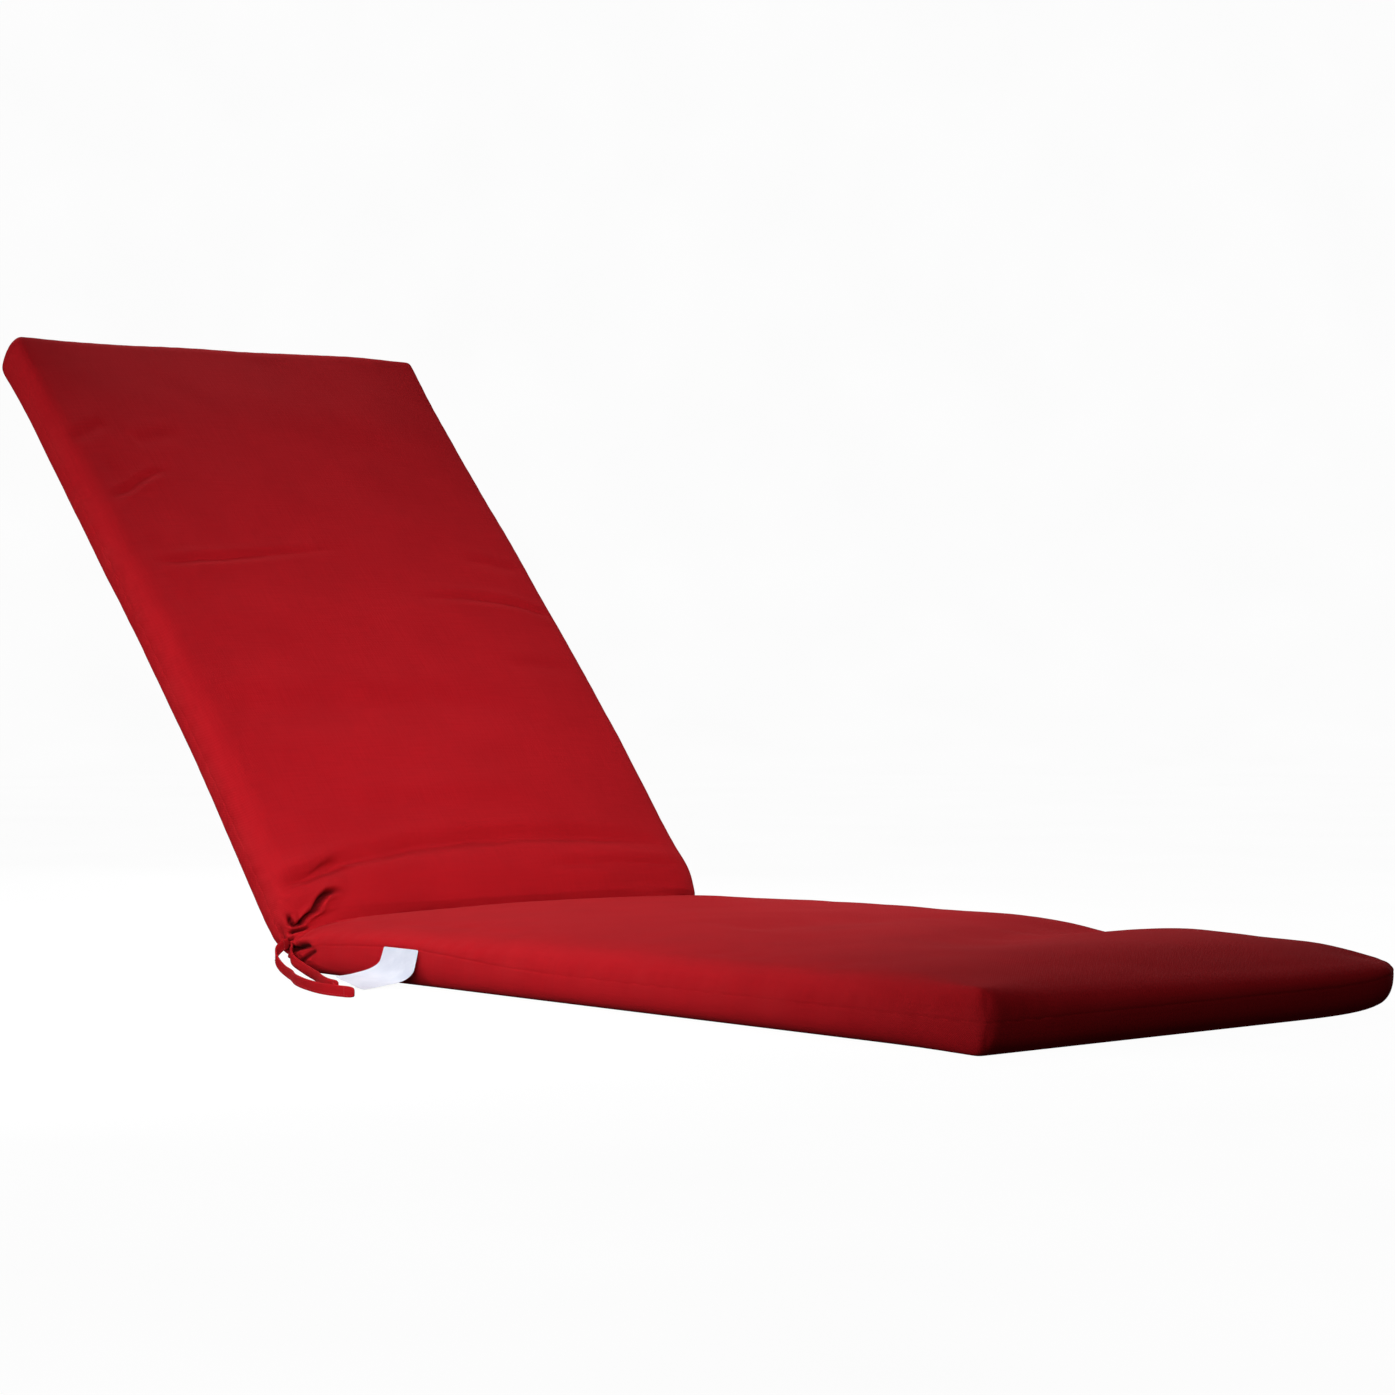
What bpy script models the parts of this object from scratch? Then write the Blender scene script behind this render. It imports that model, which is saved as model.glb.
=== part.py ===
"""A lounge chair cushion, bent as it lies in a reclining chair: a flat seat and a back that rises behind it.

Two cloth panels are sewn together round the middle of the sides, over a slab of filling. The pad folds at one
gathered hinge. Two cloth ties are sewn to the near end of the hinge, and a blank care label is caught in the
near side seam. Units are metres, +Z is up, +X points to the foot end and -Y to the near side.
The origin is the middle of the seat's flat underside.

A place on the pad is given as it lies before it is bent: run is the distance along it, 0 at the hinge,
negative towards the foot end and positive towards the head end; across is 0 in the middle, negative on the
near side; height is the distance above the underside.
"""

import math
from typing import NamedTuple

import bmesh
import bpy
from mathutils import Matrix, Vector

# The pad as it is sewn
WIDTH = 0.56
SEAT_FLAT = 0.958  # foot end to the start of the bend
BEND_RUN = 0.067  # the stretch that turns the corner, measured on the underside
BACK_RUN = 0.8395  # end of the bend to the head end
SEAM_HEIGHT = 0.028
SEAM_RISE = 0.009  # how much higher the near side's seam lies beside the label
SEAM_RISE_RUN = -0.21
SEAM_RISE_REACH = 0.13
SEAM_DIP = 0.007  # how much lower the gather pulls the near side's seam
SEAM_DIP_REACH = 0.045
CROWN = 0.009  # how much higher a panel is in the middle than beside its edges
CROWN_POWER = 2.5  # flatness of the crown across the pad
CROWN_REACH = 0.15  # how far from an end the crown reaches its full height
SIDE_DRAW = 0.0005  # how far the sides are drawn in between the corners
FAR_SPREAD = 0.003  # how far the far side of the back has stretched out towards the head end
SPREAD_START = 0.30
SPREAD_RUN = 0.35
EDGE_POWER = 2.6  # roundness of the edges: 2 is an ellipse, more is boxier
UNDER_SIDE_ROUND = 0.022  # how far in from the side seams the underside is still rounding over
UNDER_END_ROUND = 0.020
FOOT_ROUND = 0.052  # how far in from the foot end the upper panel is still rounding over
HEAD_ROUND = 0.024
HEAD_SKEW = 0.013  # how much shorter the near side of the back is than its far side
HEAD_DROOP = 0.010  # how much shorter it is again at the far top corner
DROOP_REACH = 0.090
CORNER_LIFT = 0.008  # how far the far foot corner's underside curls up
CORNER_LIFT_REACH = 0.060
FOOT_CORNERS = (0.014, 0.058)  # radius of the sewn corners seen from above, near side then far side
HEAD_CORNERS = (0.014, 0.008)
CORNER_REACH = 0.07  # how far from a corner the sewn tuck makes it boxier
CORNER_TUCK = 0.65  # the share of the rounding that the tuck takes away

# The shape that the chair gives it
BEND_ANGLE = math.radians(52.0)
BOW_RUN = 0.40  # the lower stretch of the back that leans over a little more as it rises
BOW_ANGLE = math.radians(4.4)

# The gathered hinge
GATHER_REACH = 0.030  # along the pad
GATHER_DEPTH = 0.032  # in from the side
NEAR_GATHER = 0.45  # the share of the thickness that the gather takes away, at either end of the hinge
FAR_GATHER = 0.30
UNDER_GATHER = 0.35  # the underside's gather as a share of the upper panel's
NEAR_DRAW = 0.006  # how far the gather draws either side in
FAR_DRAW = 0.011
HINGE_VALLEY = 0.010
NEAR_VALLEY = 0.3  # the share of the valley's depth that is left at the near side
VALLEY_FADE = 0.22  # how far in from the near side it reaches its full depth
VALLEY_REACH = 0.016
HINGE_FLAT = 0.7  # the share of the crown that the hinge takes away
HINGE_FLAT_REACH = 0.06
ROLL_RUN = 0.062  # the roll of cloth that the bend pushes up at the foot of the back
ROLL_REACH = 0.026
ROLL_HEIGHT = 0.007
CREASE_START = 0.12  # the share of a crease's length over which it deepens
CREASE_END = 0.25  # the share over which it runs out
LIP_SHARE = 0.25  # height of the cloth pushed up beside a crease, as a share of the crease's depth

# Ties and label
TIE_WIDTH = 0.011
TIE_THICKNESS = 0.0025
LABEL_WIDTH = 0.056
LABEL_THICKNESS = 0.0012
CLEARANCE = 0.0003

# Fineness of the mesh
SEAT_STEP = 0.045
BACK_STEP = 0.038
HINGE_STEP = 0.0095
ACROSS_STEP = 0.040
EDGE_STEPS = 5
CURVE_STEPS = 24
TIE_STEPS = 28
LABEL_COLUMNS = 6
LABEL_ROWS_BUILT = 12
MERGE_DISTANCE = 1e-6
EDGE_REACH = 0.036  # the stretch beside a seam that the edge steps cover

BEND_START = -BEND_RUN / 2
BEND_END = BEND_RUN / 2
FOOT_END = BEND_START - SEAT_FLAT
HEAD_END = BEND_END + BACK_RUN
BEND_RADIUS = BEND_RUN / BEND_ANGLE
BOW_RADIUS = BOW_RUN / BOW_ANGLE
FOOT_X = SEAT_FLAT / 2


class Section(NamedTuple):
    """Height of the upper panel beside either edge, and how far in it is still rounding over."""

    run: float
    near: float
    far: float
    near_round: float
    far_round: float


SECTIONS = (
    Section(run=FOOT_END, near=0.056, far=0.044, near_round=0.026, far_round=0.036),
    Section(run=-0.88, near=0.058, far=0.056, near_round=0.032, far_round=0.036),
    Section(run=-0.76, near=0.056, far=0.057, near_round=0.036, far_round=0.036),
    Section(run=-0.66, near=0.055, far=0.053, near_round=0.039, far_round=0.040),
    Section(run=-0.54, near=0.055, far=0.060, near_round=0.042, far_round=0.039),
    Section(run=-0.42, near=0.055, far=0.060, near_round=0.045, far_round=0.038),
    Section(run=-0.28, near=0.054, far=0.059, near_round=0.050, far_round=0.038),
    Section(run=-0.10, near=0.052, far=0.055, near_round=0.060, far_round=0.040),
    Section(run=0.00, near=0.050, far=0.052, near_round=0.060, far_round=0.044),
    Section(run=0.10, near=0.055, far=0.055, near_round=0.046, far_round=0.040),
    Section(run=0.30, near=0.056, far=0.056, near_round=0.036, far_round=0.036),
    Section(run=HEAD_END, near=0.050, far=0.052, near_round=0.030, far_round=0.034),
)


class Crease(NamedTuple):
    """A trough in the upper panel, from one place to another, bowed sideways; half is its half width."""

    run: float
    across: float
    end_run: float
    end_across: float
    bow: float
    half: float
    depth: float


CREASES = (
    # The arch over the roll, the fold out of the gather and the short fold on the far side
    Crease(run=0.066, across=-0.275, end_run=0.086, end_across=0.276, bow=0.030, half=0.010, depth=0.007),
    Crease(run=0.014, across=-0.276, end_run=0.056, end_across=-0.185, bow=0.010, half=0.008, depth=0.006),
    Crease(run=0.064, across=0.060, end_run=0.059, end_across=0.270, bow=0.002, half=0.007, depth=0.003),
    # Up the back
    Crease(run=0.286, across=-0.268, end_run=0.281, end_across=0.180, bow=0.004, half=0.020, depth=0.002),
    Crease(run=0.442, across=0.050, end_run=0.430, end_across=0.272, bow=0.011, half=0.009, depth=0.004),
    Crease(run=0.506, across=-0.272, end_run=0.532, end_across=0.060, bow=-0.006, half=0.009, depth=0.005),
    Crease(run=0.604, across=-0.272, end_run=0.650, end_across=-0.178, bow=0.002, half=0.009, depth=0.004),
    # The valley across the seat, and the shallow dent beside it
    Crease(run=-0.630, across=0.290, end_run=-0.800, end_across=-0.140, bow=0.010, half=0.055, depth=0.006),
    Crease(run=-0.500, across=-0.120, end_run=-0.560, end_across=0.160, bow=0.0, half=0.050, depth=0.003),
)

# Stretches along the pad where the hinge and the creases need a finer mesh
HINGE_STRETCH = (-0.075, 0.125)
CREASE_STRETCHES = ((0.425, 0.458), (0.500, 0.538), (0.602, 0.654))


class TieStart(NamedTuple):
    """Where a tie is sewn on: off is how far the gathered cloth beside it holds it off the seam."""

    run: float
    off: float


class TiePoint(NamedTuple):
    """A point on a tie's middle line: out is the distance out from the pad's near side."""

    x: float
    out: float
    z: float


OUTER_START = TieStart(run=0.004, off=0.0011)
OUTER_TIE = (
    TiePoint(x=-0.5000, out=0.0050, z=0.0262),
    TiePoint(x=-0.4980, out=0.0115, z=0.0215),
    TiePoint(x=-0.4920, out=0.0160, z=0.0152),
    TiePoint(x=-0.4790, out=0.0205, z=0.0098),
    TiePoint(x=-0.4550, out=0.0300, z=0.0064),
    TiePoint(x=-0.4170, out=0.0485, z=0.0060),
    TiePoint(x=-0.3750, out=0.0720, z=0.0060),
    TiePoint(x=-0.3260, out=0.0920, z=0.0060),
    TiePoint(x=-0.2780, out=0.1040, z=0.0060),
    TiePoint(x=-0.2350, out=0.1020, z=0.0060),
)
INNER_START = TieStart(run=-0.016, off=0.0022)
INNER_TIE = (
    TiePoint(x=-0.4850, out=0.0030, z=0.0205),
    TiePoint(x=-0.4730, out=0.0085, z=0.0145),
    TiePoint(x=-0.4480, out=0.0130, z=0.0085),
    TiePoint(x=-0.4200, out=0.0225, z=0.0060),
    TiePoint(x=-0.3850, out=0.0395, z=0.0060),
    TiePoint(x=-0.3510, out=0.0580, z=0.0060),
    TiePoint(x=-0.3190, out=0.0720, z=0.0060),
    TiePoint(x=-0.2960, out=0.0780, z=0.0060),
)
# A tie's section, as shares of its half thickness and half width
TIE_QUARTER = ((1.0, 0.7), (0.5, 1.0))
TIE_HALF = (*TIE_QUARTER, *((-thick, wide) for thick, wide in reversed(TIE_QUARTER)))
TIE_SECTION = (*TIE_HALF, *((-thick, -wide) for thick, wide in TIE_HALF))


class LabelRow(NamedTuple):
    """A line across the label: shift is how far it has moved towards the hinge, and out is from the seam."""

    shift: float
    hinge_out: float
    hinge_z: float
    foot_out: float
    foot_z: float


LABEL_FOOT_X = -0.273  # the label's edge towards the foot end
LABEL_ROWS = (
    LabelRow(shift=0.000, hinge_out=0.0, hinge_z=0.0372, foot_out=0.0, foot_z=0.0372),
    LabelRow(shift=0.000, hinge_out=0.0028, hinge_z=0.0290, foot_out=0.0030, foot_z=0.0255),
    LabelRow(shift=0.001, hinge_out=0.0060, hinge_z=0.0215, foot_out=0.0064, foot_z=0.0145),
    LabelRow(shift=0.006, hinge_out=0.0150, hinge_z=0.0150, foot_out=0.0160, foot_z=0.0070),
    LabelRow(shift=0.012, hinge_out=0.0300, hinge_z=0.0108, foot_out=0.0330, foot_z=0.0035),
    LabelRow(shift=0.018, hinge_out=0.0450, hinge_z=0.0085, foot_out=0.0510, foot_z=0.0012),
)

# Finishes, and how sharp an edge is before it is shaded as one
CUSHION_RED = (0.38, 0.010, 0.016, 1.0)
LABEL_WHITE = (0.75, 0.77, 0.85, 1.0)
CANVAS_ROUGHNESS = 0.85
TAPE_ROUGHNESS = 0.6
COVER_SHARP = math.radians(70)
TAPE_SHARP = math.radians(50)


def clear_scene():
    """Removes what is in the scene already."""
    for obj in list(bpy.data.objects):
        bpy.data.objects.remove(obj)


def bell(distance, half_width):
    """1 at no distance, falling smoothly to almost 0 at twice the half width."""
    return math.exp(-((distance / half_width) ** 2))


def ease(value):
    """0 below 0, 1 above 1, and a smooth step between them."""
    value = min(1.0, max(0.0, value))
    return value * value * (3 - 2 * value)


def rise(inset, reach):
    """The share of its full height that a panel has reached this far in from its seam."""
    share = min(1.0, max(0.0, inset / reach))
    return (1 - (1 - share) ** EDGE_POWER) ** (1 / EDGE_POWER)


def section_at(run):
    """The section at this place along the pad, between the two rows beside it."""
    for before, after in zip(SECTIONS, SECTIONS[1:]):
        if run <= after.run:
            share = ease((run - before.run) / (after.run - before.run))
            return Section(*(a + (b - a) * share for a, b in zip(before, after)))
    return SECTIONS[-1]


def crease_depth(crease, run, across):
    """How far one crease sinks the panel here, with a low lip of pushed up cloth on either side."""
    along = Vector((crease.end_run - crease.run, crease.end_across - crease.across))
    here = Vector((run - crease.run, across - crease.across))
    share = here.dot(along) / along.length_squared
    if share <= 0.0 or share >= 1.0:
        return 0.0
    sideways = (here.y * along.x - here.x * along.y) / along.length
    sideways += math.copysign(crease.bow * 4 * share * (1 - share), crease.bow * along.y)
    fade = ease(share / CREASE_START) * ease((1 - share) / CREASE_END)
    lip = LIP_SHARE * bell(abs(sideways) - 2 * crease.half, crease.half)
    return crease.depth * fade * (bell(sideways, crease.half) - lip)


def gather(run, across):
    """How strongly the gathered ends of the hinge pull the cloth together here, from 0 to 1."""
    inset = WIDTH / 2 - abs(across)
    strength = NEAR_GATHER if across < 0 else FAR_GATHER
    return strength * bell(run, GATHER_REACH) * math.exp(-inset / GATHER_DEPTH)


def corner_lift(run, across):
    """How far the underside has curled up here, at the far foot corner."""
    if across < 0:
        return 0.0
    return CORNER_LIFT * bell(math.hypot(run - FOOT_END, WIDTH / 2 - across), CORNER_LIFT_REACH)


def seam_height(run, across):
    """The height of the seam level with this place on the pad."""
    if across >= 0:
        return SEAM_HEIGHT + corner_lift(run, across)
    rise_here = SEAM_RISE * bell(run - SEAM_RISE_RUN, SEAM_RISE_REACH)
    return SEAM_HEIGHT + rise_here - SEAM_DIP * bell(run, SEAM_DIP_REACH)


def panel_heights(run, across):
    """The heights of the upper panel and the underside at one place on the pad."""
    section = section_at(run)
    from_end = min(run - FOOT_END, HEAD_END - run)
    from_side = WIDTH / 2 - abs(across)
    side_share = across / WIDTH + 0.5
    corner = 1 - CORNER_TUCK * bell(math.hypot(from_end, from_side), CORNER_REACH)
    side_round = corner * (section.near_round if across < 0 else section.far_round)
    end_round = corner * (FOOT_ROUND if run < 0 else HEAD_ROUND)
    share = rise(from_end, end_round) * rise(from_side, side_round)
    crown = CROWN * (1 - abs(2 * across / WIDTH) ** CROWN_POWER) * ease(from_end / CROWN_REACH)
    crown *= 1 - HINGE_FLAT * bell(run, HINGE_FLAT_REACH)
    top = section.near + (section.far - section.near) * side_share + crown
    valley = HINGE_VALLEY * (NEAR_VALLEY + (1 - NEAR_VALLEY) * ease((across + WIDTH / 2) / VALLEY_FADE))
    top += ROLL_HEIGHT * bell(run - ROLL_RUN, ROLL_REACH) - valley * bell(run, VALLEY_REACH)
    seam = seam_height(run, across)
    upper = seam + (top - seam) * share
    upper -= share * sum(crease_depth(crease, run, across) for crease in CREASES)
    lift = corner_lift(run, across)
    under_share = rise(from_end, UNDER_END_ROUND) * rise(from_side, corner * UNDER_SIDE_ROUND)
    under = seam + (lift - seam) * under_share
    pull = gather(run, across)
    upper = seam + (upper - seam) * (1 - pull)
    under = seam + (under - seam) * (1 - UNDER_GATHER * pull)
    return upper, under


def turned_corner(run, across):
    """A place on a square cut pad, moved to where it is once the corners are sewn round."""
    from_end = min(run - FOOT_END, HEAD_END - run)
    from_side = WIDTH / 2 - abs(across)
    inset = min(from_end, from_side)
    near_corner, far_corner = FOOT_CORNERS if run < 0 else HEAD_CORNERS
    radius = (near_corner if across < 0 else far_corner) - inset
    beyond = max(from_end, from_side) - inset
    if beyond >= radius:
        return run, across
    turn = math.pi / 4 * (1 - beyond / radius)
    along = inset + radius * (1 - math.sin(turn))
    inward = inset + radius * (1 - math.cos(turn))
    new_end, new_side = (along, inward) if from_end > from_side else (inward, along)
    new_run = FOOT_END + new_end if run < 0 else HEAD_END - new_end
    return new_run, math.copysign(WIDTH / 2 - new_side, across)


def drawn_in(run, across):
    """The place across the pad after its sides are drawn in, most of all at the hinge."""
    if run < 0:
        share = 4 * run * (FOOT_END - run) / FOOT_END**2
    else:
        share = 4 * run * (HEAD_END - run) / HEAD_END**2
    draw = SIDE_DRAW * share + (NEAR_DRAW if across < 0 else FAR_DRAW) * bell(run, GATHER_REACH)
    if across > 0:
        draw -= FAR_SPREAD * ease((run - SPREAD_START) / SPREAD_RUN)
    return across * (1 - 2 * draw / WIDTH)


def near_side(run):
    """Where the near side's seam lies once it is drawn in."""
    return drawn_in(run, -WIDTH / 2)


def place(run, across, height):
    """Where a place on the pad lies once the pad is bent."""
    if run <= BEND_START:
        return Vector((FOOT_X - (run - FOOT_END), across, height))
    up_the_back = ease((run - BEND_END) / BACK_RUN)
    droop = HEAD_DROOP * ease((across - WIDTH / 2) / DROOP_REACH + 1)
    run += (HEAD_SKEW * across / WIDTH - droop) * up_the_back
    bend = min(run - BEND_START, BEND_RUN) / BEND_RADIUS
    x = -FOOT_X - BEND_RADIUS * math.sin(bend)
    z = BEND_RADIUS * (1 - math.cos(bend))
    angle = bend
    if run > BEND_END:
        angle -= min(run - BEND_END, BOW_RUN) / BOW_RADIUS
        x -= BOW_RADIUS * (math.sin(bend) - math.sin(angle))
        z += BOW_RADIUS * (math.cos(angle) - math.cos(bend))
        straight = max(0.0, run - BEND_END - BOW_RUN)
        x -= straight * math.cos(angle)
        z += straight * math.sin(angle)
    return Vector((x + height * math.sin(angle), across, z + height * math.cos(angle)))


def edge_insets(reach):
    """Insets from a seam that follow the rounding of an edge evenly."""
    turns = [math.pi / 2 * step / EDGE_STEPS for step in range(EDGE_STEPS + 1)]
    return [reach * (1 - math.cos(turn) ** (2 / EDGE_POWER)) for turn in turns]


def evenly(start, end, step):
    """Places from start up to but not including end, at most one step apart."""
    count = math.ceil((end - start) / step - 1e-6)
    return [start + (end - start) * index / count for index in range(count)]


def run_stations():
    """Where the mesh is cut along the pad: finest at the hinge and the creases."""
    insets = edge_insets(EDGE_REACH)
    places = [FOOT_END + inset for inset in insets]
    places += evenly(FOOT_END + EDGE_REACH, HINGE_STRETCH[0], SEAT_STEP)[1:]
    start = HINGE_STRETCH[0]
    for fine_start, fine_end in (HINGE_STRETCH, *CREASE_STRETCHES):
        if fine_start > start:
            places += evenly(start, fine_start, BACK_STEP)
        places += evenly(fine_start, fine_end, HINGE_STEP)
        start = fine_end
    places += evenly(start, HEAD_END - EDGE_REACH, BACK_STEP)
    return places + [HEAD_END - inset for inset in reversed(insets)]


def across_stations():
    """Where the mesh is cut across the pad."""
    insets = edge_insets(EDGE_REACH)
    middle = WIDTH / 2 - EDGE_REACH
    places = [inset - WIDTH / 2 for inset in insets]
    places += evenly(-middle, middle, ACROSS_STEP)[1:]
    return places + [WIDTH / 2 - inset for inset in reversed(insets)]


def add_panel(mesh, upper):
    """Adds one panel of the pad, from a plain grid whose lines are moved to the stations."""
    runs = run_stations()
    acrosses = across_stations()
    last_run = len(runs) - 1
    last_across = len(acrosses) - 1
    grid = bmesh.ops.create_grid(mesh, x_segments=last_run, y_segments=last_across, size=0.5)
    for vert in grid["verts"]:
        run = runs[round((vert.co.x + 0.5) * last_run)]
        across = acrosses[round((vert.co.y + 0.5) * last_across)]
        top, under = panel_heights(run, across)
        run, across = turned_corner(run, across)
        vert.co = place(run, drawn_in(run, across), top if upper else under)


def material(name, colour, roughness):
    """A cloth finish with its colour and roughness."""
    made = bpy.data.materials.new(name)
    made.use_nodes = True
    shader = made.node_tree.nodes["Principled BSDF"]
    shader.inputs["Base Color"].default_value = colour
    shader.inputs["Roughness"].default_value = roughness
    shader.inputs["Metallic"].default_value = 0.0
    return made


def add_object(name, mesh, finish, sharp_angle):
    """Turns a bmesh into a named, smooth shaded object."""
    data = bpy.data.meshes.new(name)
    mesh.to_mesh(data)
    mesh.free()
    data.materials.append(finish)
    data.shade_smooth()
    data.set_sharp_from_angle(angle=sharp_angle)
    obj = bpy.data.objects.new(name, data)
    bpy.context.scene.collection.objects.link(obj)
    return obj


def make_cushion(finish):
    """The filled pad: an upper panel and an underside that share the seam round the sides."""
    mesh = bmesh.new()
    add_panel(mesh, upper=True)
    add_panel(mesh, upper=False)
    bmesh.ops.remove_doubles(mesh, verts=mesh.verts, dist=MERGE_DISTANCE)
    bmesh.ops.recalc_face_normals(mesh, faces=mesh.faces)
    return add_object("cushion", mesh, finish, COVER_SHARP)


def smooth_line(points, count):
    """A smooth curve through the points, cut into this many equal steps."""
    ends = [2 * points[0] - points[1], *points, 2 * points[-1] - points[-2]]
    fine = []
    for before, start, end, after in zip(ends, ends[1:], ends[2:], ends[3:]):
        for step in range(CURVE_STEPS):
            t = step / CURVE_STEPS
            square = (2 * before - 5 * start + 4 * end - after) * t**2
            cube = (3 * start - before - 3 * end + after) * t**3
            fine.append(0.5 * (2 * start + (end - before) * t + square + cube))
    fine.append(points[-1])
    lengths = [0.0]
    for start, end in zip(fine, fine[1:]):
        lengths.append(lengths[-1] + (end - start).length)
    line = []
    index = 0
    for step in range(count + 1):
        wanted = lengths[-1] * step / count
        while index < len(fine) - 2 and lengths[index + 1] < wanted:
            index += 1
        share = (wanted - lengths[index]) / (lengths[index + 1] - lengths[index])
        line.append(fine[index].lerp(fine[index + 1], min(1.0, share)))
    return line


def make_tie(name, start, points, finish):
    """A folded cloth tape from the hinge's near end, standing on its edge where it lies on the surface."""
    seam = near_side(start.run)
    route = [place(start.run, seam - start.off - CLEARANCE, seam_height(start.run, seam))]
    route += [Vector((point.x, -WIDTH / 2 - point.out, point.z)) for point in points]
    line = smooth_line(route, TIE_STEPS)
    mesh = bmesh.new()
    rings = []
    for index, middle in enumerate(line):
        tangent = (line[min(index + 1, len(line) - 1)] - line[max(index - 1, 0)]).normalized()
        flat = tangent.cross(Vector((0, 0, 1))).normalized()
        upright = flat.cross(tangent)
        turn = Matrix((flat * TIE_THICKNESS / 2, upright * TIE_WIDTH / 2, tangent)).transposed().to_4x4()
        turn.translation = middle
        ring = bmesh.ops.create_circle(mesh, segments=len(TIE_SECTION), radius=1.0)["verts"]
        for vert, (thick, wide) in zip(ring, TIE_SECTION):
            vert.co = turn @ Vector((thick, wide, 0.0))
        rings.append([edge for edge in mesh.edges if edge.verts[0] in ring and edge.verts[1] in ring])
    for first, second in zip(rings, rings[1:]):
        bmesh.ops.bridge_loops(mesh, edges=first + second)
    bmesh.ops.holes_fill(mesh, edges=rings[0] + rings[-1], sides=0)
    bmesh.ops.recalc_face_normals(mesh, faces=mesh.faces)
    return add_object(name, mesh, finish, TAPE_SHARP)


def label_edge(x, rows):
    """One long edge of the label, from rows of how far it has shifted, its distance out and its height."""
    seam = near_side(FOOT_END + FOOT_X - x) - CLEARANCE - LABEL_THICKNESS / 2
    return [Vector((x - shift, seam - out, z)) for shift, out, z in rows]


def make_label(finish):
    """The blank care label: down from the seam, then out, with its end on the surface."""
    foot = label_edge(LABEL_FOOT_X, [(row.shift, row.foot_out, row.foot_z) for row in LABEL_ROWS])
    hinge_x = LABEL_FOOT_X - LABEL_WIDTH
    hinge = label_edge(hinge_x, [(row.shift, row.hinge_out, row.hinge_z) for row in LABEL_ROWS])
    foot_line = smooth_line(foot, LABEL_ROWS_BUILT)
    hinge_line = smooth_line(hinge, LABEL_ROWS_BUILT)
    mesh = bmesh.new()
    grid = bmesh.ops.create_grid(mesh, x_segments=LABEL_COLUMNS, y_segments=LABEL_ROWS_BUILT, size=0.5)
    for vert in grid["verts"]:
        row = round((vert.co.y + 0.5) * LABEL_ROWS_BUILT)
        vert.co = hinge_line[row].lerp(foot_line[row], vert.co.x + 0.5)
    bmesh.ops.recalc_face_normals(mesh, faces=mesh.faces)
    label = add_object("care_label", mesh, finish, TAPE_SHARP)
    wall = label.modifiers.new("Cloth thickness", "SOLIDIFY")
    wall.thickness = LABEL_THICKNESS
    wall.offset = 0.0
    return label


def main():
    """Builds the cushion, its two ties and its label."""
    clear_scene()
    cover = material("cover_cloth", CUSHION_RED, CANVAS_ROUGHNESS)
    tie_cloth = material("tie_cloth", CUSHION_RED, CANVAS_ROUGHNESS)
    label_cloth = material("label_cloth", LABEL_WHITE, TAPE_ROUGHNESS)
    make_cushion(cover)
    make_tie("tie_outer", OUTER_START, OUTER_TIE, tie_cloth)
    make_tie("tie_inner", INNER_START, INNER_TIE, tie_cloth)
    make_label(label_cloth)


main()
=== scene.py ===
"""The looks of a red lounge chair cushion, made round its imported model, which stays where it is.

The pad is two panels of woven canvas, sewn together round the middle of the sides over a slab of filling, and bent
at one gathered hinge. Two folded canvas ties are sewn to the near end of the hinge, and a blank satin label is
caught in the near side seam. Units are metres, +Z is up, +X points to the foot end and -Y to the near side.

A place on the pad is given as it lies before it is bent: run is the distance along it, 0 at the hinge, negative
towards the foot end and positive towards the head end, and across is 0 in the middle and negative on the near side.
"""

import logging
import math
from dataclasses import dataclass
from enum import Enum
from typing import NamedTuple

import bmesh
import bpy
from bpy.types import Material, Mesh, Node, NodeSocket, NodeTree, Object
from mathutils import Matrix, Vector, noise

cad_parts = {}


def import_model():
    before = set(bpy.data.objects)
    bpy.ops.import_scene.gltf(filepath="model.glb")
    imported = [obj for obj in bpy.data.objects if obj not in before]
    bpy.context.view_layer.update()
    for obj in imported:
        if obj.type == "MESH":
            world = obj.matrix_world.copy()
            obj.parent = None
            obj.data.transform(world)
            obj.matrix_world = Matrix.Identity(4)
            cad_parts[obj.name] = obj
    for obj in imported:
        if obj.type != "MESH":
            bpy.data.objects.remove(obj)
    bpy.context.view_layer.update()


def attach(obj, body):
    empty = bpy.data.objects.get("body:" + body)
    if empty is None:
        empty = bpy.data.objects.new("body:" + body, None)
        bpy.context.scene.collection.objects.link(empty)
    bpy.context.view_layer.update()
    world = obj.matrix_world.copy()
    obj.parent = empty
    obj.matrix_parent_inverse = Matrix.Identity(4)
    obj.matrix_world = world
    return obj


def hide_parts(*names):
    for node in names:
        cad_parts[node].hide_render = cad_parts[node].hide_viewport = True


LOG = logging.getLogger("cushion")
ROOT_BODY = "root"
CLOTH_UV = "cloth"
WORN_ATTRIBUTE = "worn"
# The share of painted shade at each point of the cover, darkest at the bottoms of the puckers
PAINTED_SHADE_ATTRIBUTE = "painted_shade"
CLOTH_PLACES = ("run", "across", "upper", "from_seam")  # where each point of the cover is, kept while it is made
MERGE_DISTANCE = 1e-6
CURVE_STEPS = 24  # between two points of a smooth curve

# The photograph
IMAGE_SIDE = 1395
FOCAL_PIXELS = 3306.65
SENSOR_WIDTH = 36.0

# Numbers of a colour Mix node's sockets, whose names are shared by other kinds of Mix
MIX_FACTOR = 0
MIX_FIRST = 6
MIX_SECOND = 7
MIX_RESULT = 2

Point = tuple[float, float, float]


class Panel(Enum):
    """The two cloth panels of the pad."""

    UPPER = 1.0
    UNDER = 0.0


def bell(distance: float, half_width: float) -> float:
    """1 at no distance, falling smoothly to almost 0 at twice the half width."""
    return math.exp(-((distance / half_width) ** 2))


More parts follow.
